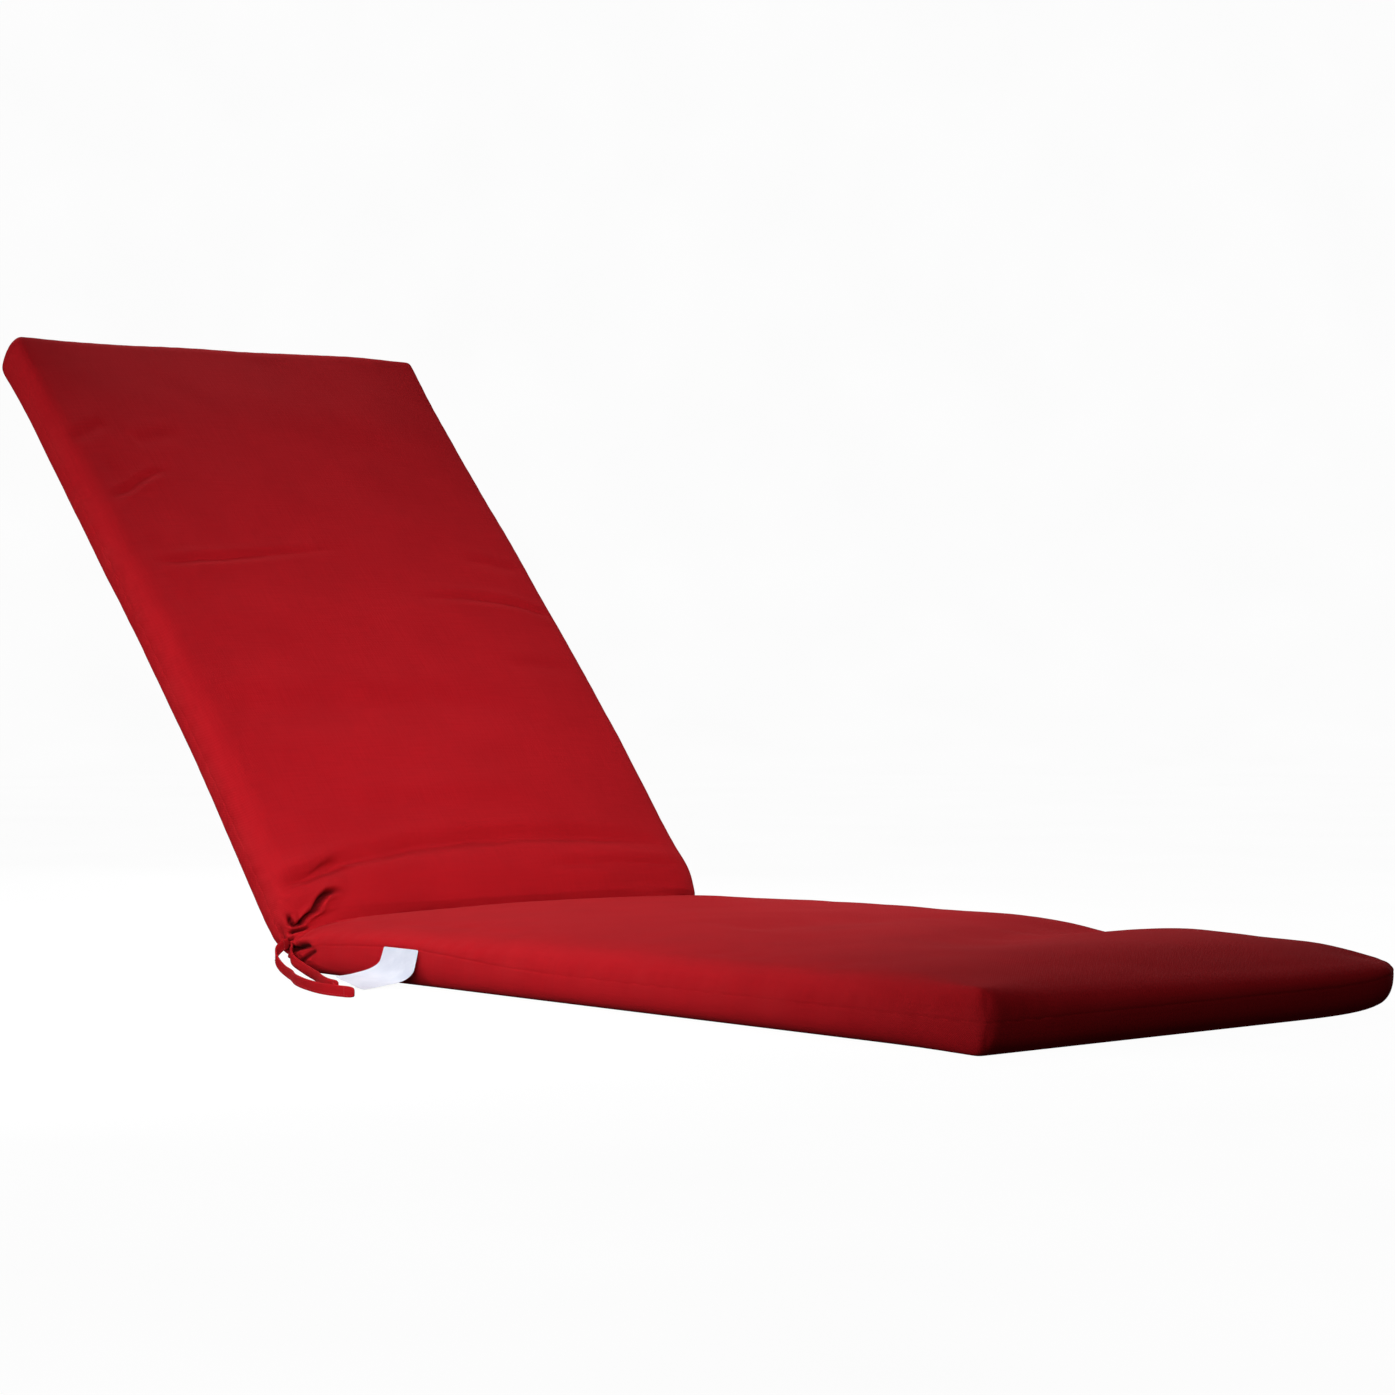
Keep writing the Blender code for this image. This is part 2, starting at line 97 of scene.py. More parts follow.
def ease(value: float) -> float:
    """0 below 0, 1 above 1, and a smooth step between them."""
    value = min(1.0, max(0.0, value))
    return value * value * (3 - 2 * value)


def linear(colour: str) -> tuple[float, float, float, float]:
    """Turns an sRGB colour into the linear one that a shader takes.

    Args:
        colour: The colour as #RRGGBB.

    Returns:
        Linear red, green, blue and an alpha of 1.
    """
    shares = [int(colour[place : place + 2], 16) / 255 for place in (1, 3, 5)]
    red, green, blue = (s / 12.92 if s <= 0.04045 else ((s + 0.055) / 1.055) ** 2.4 for s in shares)
    return red, green, blue, 1.0


def add_node(
    tree: NodeTree,
    kind: str,
    links: dict[str | int, NodeSocket] | None = None,
    values: dict[str | int, object] | None = None,
    **settings: object,
) -> Node:
    """Adds one node with its settings, the values of its sockets and what feeds them.

    Args:
        tree: The node tree that it goes into.
        kind: Blender's name for the type of node.
        links: The socket that feeds each linked input, by the input's name or number.
        values: The value of each input that stays as it is, by its name or number.
        **settings: The node's own properties.

    Returns:
        The new node.
    """
    node = tree.nodes.new(kind)
    for name, value in settings.items():
        setattr(node, name, value)
    for key, value in (values or {}).items():
        node.inputs[key].default_value = value
    for key, source in (links or {}).items():
        tree.links.new(source, node.inputs[key])
    return node


class Shading:
    """A material while it is made, with the few kinds of node that the finishes here need."""

    def __init__(self, name: str) -> None:
        """Starts a material with nothing in its node tree."""
        self.material = bpy.data.materials.new(name)
        self.material.use_nodes = True
        self.tree = self.material.node_tree
        self.tree.nodes.clear()

    def cloth(self) -> NodeSocket:
        """The cloth's own coordinates in metres."""
        return add_node(self.tree, "ShaderNodeUVMap", uv_map=CLOTH_UV).outputs["UV"]

    def place(self) -> NodeSocket:
        """The Object coordinates."""
        return add_node(self.tree, "ShaderNodeTexCoord").outputs["Object"]

    def kept(self, name: str) -> NodeSocket:
        """A number that the mesh keeps at each of its points."""
        return add_node(self.tree, "ShaderNodeAttribute", attribute_name=name).outputs["Fac"]

    def parts(self, vector: NodeSocket) -> tuple[NodeSocket, NodeSocket]:
        """The X and the Y of a vector."""
        split = add_node(self.tree, "ShaderNodeSeparateXYZ", {0: vector})
        return split.outputs["X"], split.outputs["Y"]

    def scaled(self, vector: NodeSocket, scale: Point) -> NodeSocket:
        """A vector times a scale in each direction."""
        return add_node(self.tree, "ShaderNodeMapping", {"Vector": vector}, {"Scale": scale}).outputs[0]

    def calculate(self, operation: str, *inputs: NodeSocket | float) -> NodeSocket:
        """The result of a Math node on sockets and plain numbers."""
        links = {key: item for key, item in enumerate(inputs) if not isinstance(item, float)}
        values = {key: item for key, item in enumerate(inputs) if isinstance(item, float)}
        return add_node(self.tree, "ShaderNodeMath", links, values, operation=operation).outputs[0]

    def noise(self, vector: NodeSocket, scale: float, detail: float = 2.0, rough: float = 0.5) -> NodeSocket:
        """Soft random spots."""
        values = {"Scale": scale, "Detail": detail, "Roughness": rough}
        return add_node(self.tree, "ShaderNodeTexNoise", {"Vector": vector}, values).outputs[0]

    def remap(self, value: NodeSocket, ends: tuple[float, float, float, float]) -> NodeSocket:
        """A value moved from one range, the first two ends, to another, the last two."""
        values = dict(zip(("From Min", "From Max", "To Min", "To Max"), ends))
        return add_node(self.tree, "ShaderNodeMapRange", {"Value": value}, values).outputs[0]

    def mix(self, share: NodeSocket, first: NodeSocket | str, second: NodeSocket | str) -> NodeSocket:
        """Mixes two colours.

        Args:
            share: How much of the second there is.
            first: The first colour, from a socket or as #RRGGBB.
            second: The second one.

        Returns:
            The mixed colour.
        """
        both = {MIX_FIRST: first, MIX_SECOND: second}
        links = {key: item for key, item in both.items() if not isinstance(item, str)}
        values = {key: linear(item) for key, item in both.items() if isinstance(item, str)}
        links[MIX_FACTOR] = share
        return add_node(self.tree, "ShaderNodeMix", links, values, data_type="RGBA").outputs[MIX_RESULT]

    def bump(self, height: NodeSocket, strength: float, distance: float) -> NodeSocket:
        """The normal over some relief."""
        values = {"Strength": strength, "Distance": distance}
        return add_node(self.tree, "ShaderNodeBump", {"Height": height}, values).outputs[0]

    def finished(self, links: dict[str, NodeSocket], values: dict[str, object]) -> Material:
        """Ends the material with its surface, given what feeds it and its plain values."""
        shader = add_node(self.tree, "ShaderNodeBsdfPrincipled", links, values)
        add_node(self.tree, "ShaderNodeOutputMaterial", {"Surface": shader.outputs[0]})
        return self.material


def link_mesh(name: str, mesh: bmesh.types.BMesh, finish: Material) -> Object:
    """Turns a bmesh, which it frees, into a smooth shaded object of the scene.

    Args:
        name: The object's name.
        mesh: Its mesh.
        finish: Its material.

    Returns:
        The object.
    """
    data = bpy.data.meshes.new(name)
    mesh.to_mesh(data)
    mesh.free()
    data.materials.append(finish)
    data.shade_smooth()
    made = bpy.data.objects.new(name, data)
    bpy.context.scene.collection.objects.link(made)
    return made


def add_object(name: str, mesh: bmesh.types.BMesh, finish: Material) -> Object:
    """Turns a bmesh into a piece that rides with the cushion.

    Args:
        name: The piece's name.
        mesh: Its mesh, which is freed.
        finish: Its material.

    Returns:
        The piece.
    """
    piece = link_mesh(name, mesh, finish)
    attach(piece, ROOT_BODY)
    return piece


def subdivide(piece: bpy.types.Object) -> None:
    """Adds one level of smooth subdivision, the same in views and renders."""
    finer = piece.modifiers.new("Rounding", "SUBSURF")
    finer.levels = finer.render_levels = 1


def apply_modifiers(piece: bpy.types.Object) -> None:
    """Puts what a piece's modifiers make of it into its mesh, and removes them."""
    shaped = piece.evaluated_get(bpy.context.evaluated_depsgraph_get())
    data = bpy.data.meshes.new_from_object(shaped)
    piece.modifiers.clear()
    old = piece.data
    piece.data = data
    bpy.data.meshes.remove(old)
    data.name = piece.name


def smooth_line(points: list[Vector], count: int) -> list[Vector]:
    """Draws a smooth curve through some points.

    Args:
        points: The points that it passes through.
        count: How many equal steps it is cut into.

    Returns:
        The points between the steps, with both ends.
    """
    ends = [2 * points[0] - points[1], *points, 2 * points[-1] - points[-2]]
    fine = []
    for before, start, end, after in zip(ends, ends[1:], ends[2:], ends[3:]):
        for step in range(CURVE_STEPS):
            t = step / CURVE_STEPS
            square = (2 * before - 5 * start + 4 * end - after) * t**2
            cube = (3 * start - before - 3 * end + after) * t**3
            fine.append(0.5 * (2 * start + (end - before) * t + square + cube))
    fine.append(points[-1])
    lengths = [0.0]
    for start, end in zip(fine, fine[1:]):
        lengths.append(lengths[-1] + (end - start).length)
    line = []
    index = 0
    for step in range(count + 1):
        wanted = lengths[-1] * step / count
        while index < len(fine) - 2 and lengths[index + 1] < wanted:
            index += 1
        share = (wanted - lengths[index]) / (lengths[index + 1] - lengths[index])
        line.append(fine[index].lerp(fine[index + 1], min(1.0, share)))
    return line


def line_length(line: list[Vector]) -> float:
    """The length of a line through these points."""
    return sum((end - start).length for start, end in zip(line, line[1:]))


@dataclass(frozen=True)
class WovenCanvas:
    """Spun polyester canvas, plain woven and dyed red.

    Its short fibres scatter the light, so it is matt, with a soft bloom where it is seen along the surface. Uneven
    yarns show as faint streaks along both threads, and the cloth is rubbed paler along its edges. Painted shade
    darkens the hollows between its threads and the bottoms of the puckers.
    """

    name: str
    colour: str = "#B5161F"
    # The darker yarn colour: painted shade where the weave and the uneven yarns lie low, and also the random mottling
    # of the dye
    painted_hollow_shade_and_mottle: str = "#9D1119"
    rubbed: str = "#BC2228"
    creased: str = "#5A070C"  # painted shade at the bottom of a pucker, where little light falls
    thread_spacing: float = 0.0011  # a real one is 0.55 mm, too fine to show in a render of the whole pad
    thread_share: float = 0.45  # of the relief, beside the uneven yarns
    slub_length: float = 0.045
    slub_width: float = 0.0022
    cloud_width: float = 0.09
    relief_to_shade: tuple[float, float, float, float] = (0.35, 1.35, 0.75, 0.0)
    cloud_to_mottle: tuple[float, float, float, float] = (0.35, 0.7, 0.0, 0.35)
    relief_strength: float = 0.7
    thread_relief: float = 0.00022
    roughness: float = 0.88
    sheen: float = 0.05
    sheen_tint: str = "#E06464"

    def make(self) -> Material:
        """Builds the material.

        Returns:
            The finish, which reads the cloth's UV map, how worn it is and how much painted shade its puckers get.
        """
        shading = Shading(self.name)
        cloth = shading.cloth()
        clouds = shading.noise(cloth, 1 / self.cloud_width, detail=3.0)
        relief = shading.calculate("MULTIPLY", self._weave(shading, cloth), self.thread_share)
        relief = shading.calculate("ADD", relief, self._slubs(shading, cloth))
        # Painted shade: the cloth is drawn darker where the relief of the weave and the yarns lies low, as if the
        # hollows were shaded
        dyed = shading.mix(shading.remap(relief, self.relief_to_shade), self.colour, self.painted_hollow_shade_and_mottle)
        dyed = shading.mix(shading.remap(clouds, self.cloud_to_mottle), dyed, self.painted_hollow_shade_and_mottle)
        dyed = shading.mix(shading.calculate("MULTIPLY", shading.kept(WORN_ATTRIBUTE), clouds), dyed, self.rubbed)
        # Painted shade: the bottoms of the puckers are drawn darker, as if little light reached them
        dyed = shading.mix(shading.kept(PAINTED_SHADE_ATTRIBUTE), dyed, self.creased)
        return shading.finished(
            {"Base Color": dyed, "Normal": shading.bump(relief, self.relief_strength, self.thread_relief)},
            {
                "Roughness": self.roughness,
                "IOR": 1.45,
                "Specular IOR Level": 0.06,
                "Sheen Weight": self.sheen,
                "Sheen Roughness": 0.4,
                "Sheen Tint": linear(self.sheen_tint),
            },
        )

    def _weave(self, shading: Shading, cloth: NodeSocket) -> NodeSocket:
        """Adds the over and under of the threads.

        Args:
            shading: The material so far.
            cloth: The cloth's own coordinates in metres.

        Returns:
            The height of the weave, from -1 to 1.
        """
        turns = math.pi / self.thread_spacing
        warp, weft = shading.parts(shading.scaled(cloth, (turns, turns, 1.0)))
        return shading.calculate("MULTIPLY", shading.calculate("SINE", warp), shading.calculate("SINE", weft))

    def _slubs(self, shading: Shading, cloth: NodeSocket) -> NodeSocket:
        """Adds the thicker and thinner stretches of the yarns, in both directions.

        Args:
            shading: The material so far.
            cloth: The cloth's own coordinates in metres.

        Returns:
            The height of the yarns, around 1.
        """
        along, beside = 1 / self.slub_length, 1 / self.slub_width
        yarns = [shading.scaled(cloth, scale) for scale in ((along, beside, 1.0), (beside, along, 1.0))]
        return shading.calculate("ADD", *(shading.noise(yarn, 1.0, rough=0.6) for yarn in yarns))


@dataclass(frozen=True)
class SatinRibbon:
    """White polyester satin ribbon for care labels, woven and heat set.

    Long floating threads give it a soft gloss across its width, over very fine ribs.
    """

    name: str = "white_satin_ribbon"
    colour: str = "#DDE0EC"
    # Painted shade: the ribbon is drawn in this darker colour where its ribs and creases lie low
    rib_and_crease_shade: str = "#CACFDE"
    rib_spacing: float = 0.0012  # a real one is 0.3 mm, too fine to show
    rib_share: float = 0.12  # of the relief, beside the creasing
    crease_scale: float = 60.0
    height_to_shade: tuple[float, float, float, float] = (0.35, 0.75, 0.8, 0.0)
    roughness: float = 0.48

    def make(self) -> Material:
        """Builds the material.

        Returns:
            The finish, which reads the label's UV map.
        """
        shading = Shading(self.name)
        cloth = shading.cloth()
        turns = shading.calculate("MULTIPLY", shading.parts(cloth)[1], 2 * math.pi / self.rib_spacing)
        creased = shading.noise(cloth, self.crease_scale, detail=3.0)
        height = shading.calculate("MULTIPLY_ADD", shading.calculate("SINE", turns), self.rib_share, creased)
        # Painted shade in the low places of the ribs and creases
        woven = shading.mix(shading.remap(height, self.height_to_shade), self.colour, self.rib_and_crease_shade)
        return shading.finished(
            {"Base Color": woven, "Normal": shading.bump(height, 0.5, 0.0006)},
            {
                "Roughness": self.roughness,
                "IOR": 1.5,
                "Specular IOR Level": 0.45,
                "Sheen Weight": 0.2,
                "Sheen Roughness": 0.3,
            },
        )


@dataclass(frozen=True)
class SewingThread:
    """Three-ply polyester sewing thread, twisted and waxed, so that it shines a little more than the cloth."""

    name: str = "red_polyester_thread"
    colour: str = "#C2222B"
    # Painted shade: the grooves between the plies are drawn darker
    groove_shade: str = "#8E0F17"
    ply_length: float = 0.0009
    roughness: float = 0.55

    def make(self) -> Material:
        """Builds the material.

        Returns:
            The finish, which reads Object coordinates.
        """
        shading = Shading(self.name)
        plies = add_node(
            shading.tree,
            "ShaderNodeTexWave",
            {"Vector": shading.place()},
            {"Scale": 0.314 / self.ply_length, "Distortion": 1.5},
            bands_direction="DIAGONAL",
        ).outputs["Fac"]
        # Painted shade in the grooves between the twisted plies
        twisted = shading.mix(plies, self.groove_shade, self.colour)
        return shading.finished(
            {"Base Color": twisted, "Normal": shading.bump(plies, 0.5, 0.0002)},
            {"Roughness": self.roughness, "IOR": 1.5, "Specular IOR Level": 0.4},
        )


@dataclass(frozen=True)
class PaleFloor:
    """A plain pale studio floor, matt and evenly bright."""

    name: str = "pale_studio_floor"
    colour: str = "#FFFFFF"
    mottle: str = "#FCFCFC"
    unlit: str = "#404040"
    glow: float = 0.985
    roughness: float = 0.9

    def make(self) -> Material:
        """Builds the material.

        Returns:
            The finish, bright enough by itself that the lamps on the cushion hardly shade it.
        """
        shading = Shading(self.name)
        tone = shading.mix(shading.noise(shading.place(), 3.0), self.colour, self.mottle)
        return shading.finished(
            {"Emission Color": tone},
            {
                "Base Color": linear(self.unlit),
                "Roughness": self.roughness,
                "Specular IOR Level": 0.0,
                "Emission Strength": self.glow,
            },
        )


class Section(NamedTuple):
    """Height of the upper panel beside either edge, and how far in it is still rounding over."""

    run: float
    near: float
    far: float
    near_round: float
    far_round: float

    def blend(self, after: "Section", share: float) -> "Section":
        """The section that lies this share of the way to the next."""
        return Section(*(mine + (theirs - mine) * share for mine, theirs in zip(self, after)))


@dataclass(frozen=True)
class Fold:
    """A trough in the cloth from one place to another.

    bow is how far its middle swings sideways and half its half width. pinch, from 0 to 1, is how sharply its bottom
    is creased, start and end are the shares of its length over which it deepens and runs out, and lip is the height
    of the cloth pushed up on either side, as a share of its depth. wobble is how far it wanders from its line.
    """

    run: float
    across: float
    end_run: float
    end_across: float
    half: float
    depth: float
    bow: float = 0.0
    pinch: float = 0.3
    start: float = 0.12
    end: float = 0.25
    lip: float = 0.25
    wobble: float = 0.002
    wobble_length: float = 0.03
    change: float = 0.3  # in its depth, along it
    change_length: float = 0.045

    def depth_at(self, run: float, across: float) -> float:
        """Finds how far this fold sinks the cloth at one place.

        Args:
            run: The place along the pad.
            across: The place across it.

        Returns:
            The depth in metres, negative on the lips.
        """
        along = Vector((self.end_run - self.run, self.end_across - self.across))
        here = Vector((run - self.run, across - self.across))
        share = here.dot(along) / along.length_squared
        if share <= 0.0 or share >= 1.0:
            return 0.0
        sideways = (here.y * along.x - here.x * along.y) / along.length
        if abs(sideways) > abs(self.bow) + 4 * self.half:
            return 0.0
        sideways += math.copysign(self.bow * 4 * share * (1 - share), self.bow * along.y)
        length = along.length * share
        drift = Vector((length / self.wobble_length, self.run * 40, self.across * 40))
        sideways += self.wobble * noise.noise(drift)
        fade = ease(share / self.start) * ease((1 - share) / self.end)
        fade *= 1 + self.change * noise.noise(Vector((length / self.change_length, self.run * 60, 7.0)))
        trough = (1 - self.pinch) * bell(sideways, self.half)
        trough += self.pinch * math.exp(-abs(sideways) / (0.35 * self.half))
        push = self.lip * bell(abs(sideways) - 2 * self.half, self.half)
        return self.depth * fade * (trough - push)


@dataclass(frozen=True)
class Pucker:
    """A narrow crease beside the gathered end of the hinge, through places given as run and distance from the seam.

    start and end are the shares of its length over which it deepens and runs out, and lip is as for a fold.
    """

    places: tuple[tuple[float, float], ...]
    half: float
    depth: float
    start: float = 0.2
    end: float = 0.35
    lip: float = 0.25

    def depth_at(self, run: float, up: float) -> float:
        """Finds how far this crease sinks the cloth at one place.

        Args:
            run: The place along the pad.
            up: The distance from the seam over the cloth, negative on the underside.

        Returns:
            The depth in metres.
        """
        here = Vector((run, up))
        nearest, depth = math.inf, 0.0
        last = len(self.places) - 1
        for index, (start, end) in enumerate(zip(self.places, self.places[1:])):
            first, along = Vector(start), Vector(end) - Vector(start)
            share = min(1.0, max(0.0, (here - first).dot(along) / along.length_squared))
            away = (here - first - along * share).length
            if away < nearest:
                nearest = away
                done = (index + share) / last
                depth = self.depth * ease(0.4 + done / self.start) * ease((1 - done) / self.end)
        if nearest > 4 * self.half:
            return 0.0
        return depth * (bell(nearest, self.half) - self.lip * bell(nearest - 2 * self.half, self.half))


@dataclass(frozen=True)
class Pleat:
    """A pucker that runs out from the gathered end of the hinge.

    angle, in degrees, is 0 towards the head end, 90 up onto the upper panel and -90 down towards the underside.
    """

    angle: float
    length: float
    depth: float
    half: float


@dataclass(frozen=True)
class PadForm:
    """The sizes and the shape of the pad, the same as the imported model's."""

    width: float = 0.56
    seat_flat: float = 0.958
    bend_run: float = 0.067
    back_run: float = 0.8395
    level_seam: float = 0.028
    seam_rise: float = 0.009  # beside the label, on the near side
    seam_rise_run: float = -0.21
    seam_rise_reach: float = 0.13
    seam_dip: float = 0.007  # at the gather, on the near side
    seam_dip_reach: float = 0.045
    crown: float = 0.009
    crown_power: float = 2.5
    crown_reach: float = 0.15
    side_draw: float = 0.0005
    far_spread: float = 0.003
    spread_start: float = 0.30
    spread_run: float = 0.35
    edge_power: float = 2.6
    under_side_round: float = 0.022
    under_end_round: float = 0.020
    foot_round: float = 0.052
    head_round: float = 0.024
    head_skew: float = 0.013
    head_droop: float = 0.010
    droop_reach: float = 0.090
    corner_lift: float = 0.008  # how far the far foot corner's underside curls up
    corner_lift_reach: float = 0.060
    foot_corners: tuple[float, float] = (0.014, 0.058)  # radius of the sewn corners, near side first
    head_corners: tuple[float, float] = (0.014, 0.008)
    corner_reach: float = 0.07
    corner_tuck: float = 0.65
    bend_angle: float = math.radians(52.0)
    bow_run: float = 0.40
    bow_angle: float = math.radians(4.4)
    gather_reach: float = 0.030
    gather_depth: float = 0.032
    near_gather: float = 0.45
    far_gather: float = 0.30
    under_gather: float = 0.35
    near_draw: float = 0.006
    far_draw: float = 0.011
    hinge_valley: float = 0.010
    near_valley: float = 0.3
    valley_fade: float = 0.22
    valley_reach: float = 0.016
    hinge_flat: float = 0.7
    hinge_flat_reach: float = 0.06
    roll_run: float = 0.062
    roll_reach: float = 0.026
    roll_height: float = 0.007
    sections: tuple[Section, ...] = (
        Section(-0.9915, 0.056, 0.044, 0.026, 0.036),
        Section(-0.88, 0.058, 0.056, 0.032, 0.036),
        Section(-0.76, 0.056, 0.057, 0.036, 0.036),
        Section(-0.66, 0.055, 0.053, 0.039, 0.040),
        Section(-0.54, 0.055, 0.060, 0.042, 0.039),
        Section(-0.42, 0.055, 0.060, 0.045, 0.038),
        Section(-0.28, 0.054, 0.059, 0.050, 0.038),
        Section(-0.10, 0.052, 0.055, 0.060, 0.040),
        Section(0.00, 0.050, 0.052, 0.060, 0.044),
        Section(0.10, 0.055, 0.055, 0.046, 0.040),
        Section(0.30, 0.056, 0.056, 0.036, 0.036),
        Section(0.873, 0.050, 0.052, 0.030, 0.034),
    )

    @property
    def bend_start(self) -> float:
        """Where the seat ends and the bend starts."""
        return -self.bend_run / 2

    @property
    def bend_end(self) -> float:
        """Where the bend ends and the back starts."""
        return self.bend_run / 2

    @property
    def foot_end(self) -> float:
        """The place of the foot end along the pad."""
        return self.bend_start - self.seat_flat

    @property
    def head_end(self) -> float:
        """The place of the head end along the pad."""
        return self.bend_end + self.back_run

    def rise(self, inset: float, reach: float) -> float:
        """The share of its full height that a panel has reached this far in from its seam."""
        share = min(1.0, max(0.0, inset / reach))
        return (1 - (1 - share) ** self.edge_power) ** (1 / self.edge_power)

    def section_at(self, run: float) -> Section:
        """The section at this place along the pad."""
        for before, after in zip(self.sections, self.sections[1:]):
            if run <= after.run:
                return before.blend(after, ease((run - before.run) / (after.run - before.run)))
        return self.sections[-1]

    def lift(self, run: float, across: float) -> float:
        """How far the underside has curled up here, at the far foot corner."""
        if across < 0:
            return 0.0
        away = math.hypot(run - self.foot_end, self.width / 2 - across)
        return self.corner_lift * bell(away, self.corner_lift_reach)

    def seam_height(self, run: float, across: float) -> float:
        """The height of the seam level with this place on the pad."""
        if across >= 0:
            return self.level_seam + self.lift(run, across)
        rise_here = self.seam_rise * bell(run - self.seam_rise_run, self.seam_rise_reach)
        return self.level_seam + rise_here - self.seam_dip * bell(run, self.seam_dip_reach)

    def gather(self, run: float, across: float) -> float:
        """How strongly the gathered ends of the hinge pull the cloth together here, from 0 to 1."""
        inset = self.width / 2 - abs(across)
        strength = self.near_gather if across < 0 else self.far_gather
        return strength * bell(run, self.gather_reach) * math.exp(-inset / self.gather_depth)

    def height(self, run: float, across: float, panel: Panel) -> float:
        """Finds how high a panel lies above the plane of the underside, without its folds.

        Args:
            run: The place along the pad.
            across: The place across it.
            panel: Which of the two panels.

        Returns:
            The height in metres.
        """
        section = self.section_at(run)
        seam = self.seam_height(run, across)
        from_end = min(run - self.foot_end, self.head_end - run)
        from_side = self.width / 2 - abs(across)
        corner = 1 - self.corner_tuck * bell(math.hypot(from_end, from_side), self.corner_reach)
        if panel is Panel.UNDER:
            share = self.rise(from_end, self.under_end_round)
            share *= self.rise(from_side, corner * self.under_side_round)
            height = seam + (self.lift(run, across) - seam) * share
        else:
            side_round = corner * (section.near_round if across < 0 else section.far_round)
            end_round = corner * (self.foot_round if run < 0 else self.head_round)
            crown = self.crown * (1 - abs(2 * across / self.width) ** self.crown_power)
            crown *= ease(from_end / self.crown_reach)
            crown *= 1 - self.hinge_flat * bell(run, self.hinge_flat_reach)
            top = section.near + (section.far - section.near) * (across / self.width + 0.5) + crown
            top += self.roll_height * bell(run - self.roll_run, self.roll_reach)
            valley = ease((across + self.width / 2) / self.valley_fade)
            valley = self.hinge_valley * (self.near_valley + (1 - self.near_valley) * valley)
            top -= valley * bell(run, self.valley_reach)
            share = self.rise(from_end, end_round) * self.rise(from_side, side_round)
            height = seam + (top - seam) * share
        pull = self.gather(run, across) * (self.under_gather if panel is Panel.UNDER else 1.0)
        return seam + (height - seam) * (1 - pull)

    def turned_corner(self, run: float, across: float) -> tuple[float, float]:
        """Moves a place on a square cut pad to where it is once the corners are sewn round.

        Args:
            run: The place along the pad.
            across: The place across it.

        Returns:
            The new place along the pad and across it.
        """
        from_end = min(run - self.foot_end, self.head_end - run)
        from_side = self.width / 2 - abs(across)
        inset = min(from_end, from_side)
        near_corner, far_corner = self.foot_corners if run < 0 else self.head_corners
        radius = (near_corner if across < 0 else far_corner) - inset
        beyond = max(from_end, from_side) - inset
        if beyond >= radius:
            return run, across
        turn = math.pi / 4 * (1 - beyond / radius)
        along = inset + radius * (1 - math.sin(turn))
        inward = inset + radius * (1 - math.cos(turn))
        new_end, new_side = (along, inward) if from_end > from_side else (inward, along)
        new_run = self.foot_end + new_end if run < 0 else self.head_end - new_end
        return new_run, math.copysign(self.width / 2 - new_side, across)

    def drawn_in(self, run: float, across: float) -> float:
        """Finds the place across the pad after its sides are drawn in, most of all at the hinge.

        Args:
            run: The place along the pad.
            across: The place across it as it was cut.

        Returns:
            The place across it as it lies.
        """
        end = self.foot_end if run < 0 else self.head_end
        gather_draw = self.near_draw if across < 0 else self.far_draw
        draw = self.side_draw * 4 * run * (end - run) / end**2 + gather_draw * bell(run, self.gather_reach)
        if across > 0:
            draw -= self.far_spread * ease((run - self.spread_start) / self.spread_run)
        return across * (1 - 2 * draw / self.width)

    def near_side(self, run: float) -> float:
        """Where the near side's seam lies once it is drawn in."""
        return self.drawn_in(run, -self.width / 2)

    def place(self, run: float, across: float, height: float) -> Vector:
        """Finds where a place on the pad lies once the pad is bent.

        Args:
            run: The place along the pad.
            across: The place across it, drawn in already.
            height: The height above the plane of the underside.

        Returns:
            The point in the model's own frame.
        """
        foot_x = self.seat_flat / 2
        if run <= self.bend_start:
            return Vector((foot_x - (run - self.foot_end), across, height))
        droop = self.head_droop * ease((across - self.width / 2) / self.droop_reach + 1)
        run += (self.head_skew * across / self.width - droop) * ease((run - self.bend_end) / self.back_run)
        bend_radius = self.bend_run / self.bend_angle
        bend = min(run - self.bend_start, self.bend_run) / bend_radius
        x = -foot_x - bend_radius * math.sin(bend)
        z = bend_radius * (1 - math.cos(bend))
        angle = bend
        if run > self.bend_end:
            bow_radius = self.bow_run / self.bow_angle
            angle -= min(run - self.bend_end, self.bow_run) / bow_radius
            x -= bow_radius * (math.sin(bend) - math.sin(angle))
            z += bow_radius * (math.cos(angle) - math.cos(bend))
            straight = max(0.0, run - self.bend_end - self.bow_run)
            x -= straight * math.cos(angle)
            z += straight * math.sin(angle)
        return Vector((x + height * math.sin(angle), across, z + height * math.cos(angle)))


# The cover's cloth in the simulation
COVER_CLOTH = {
    "quality": 5,
    "mass": 0.3,
    "tension_stiffness": 20.0,
    "compression_stiffness": 20.0,
    "shear_stiffness": 8.0,
    "bending_stiffness": 0.4,
    "use_pressure": True,
}


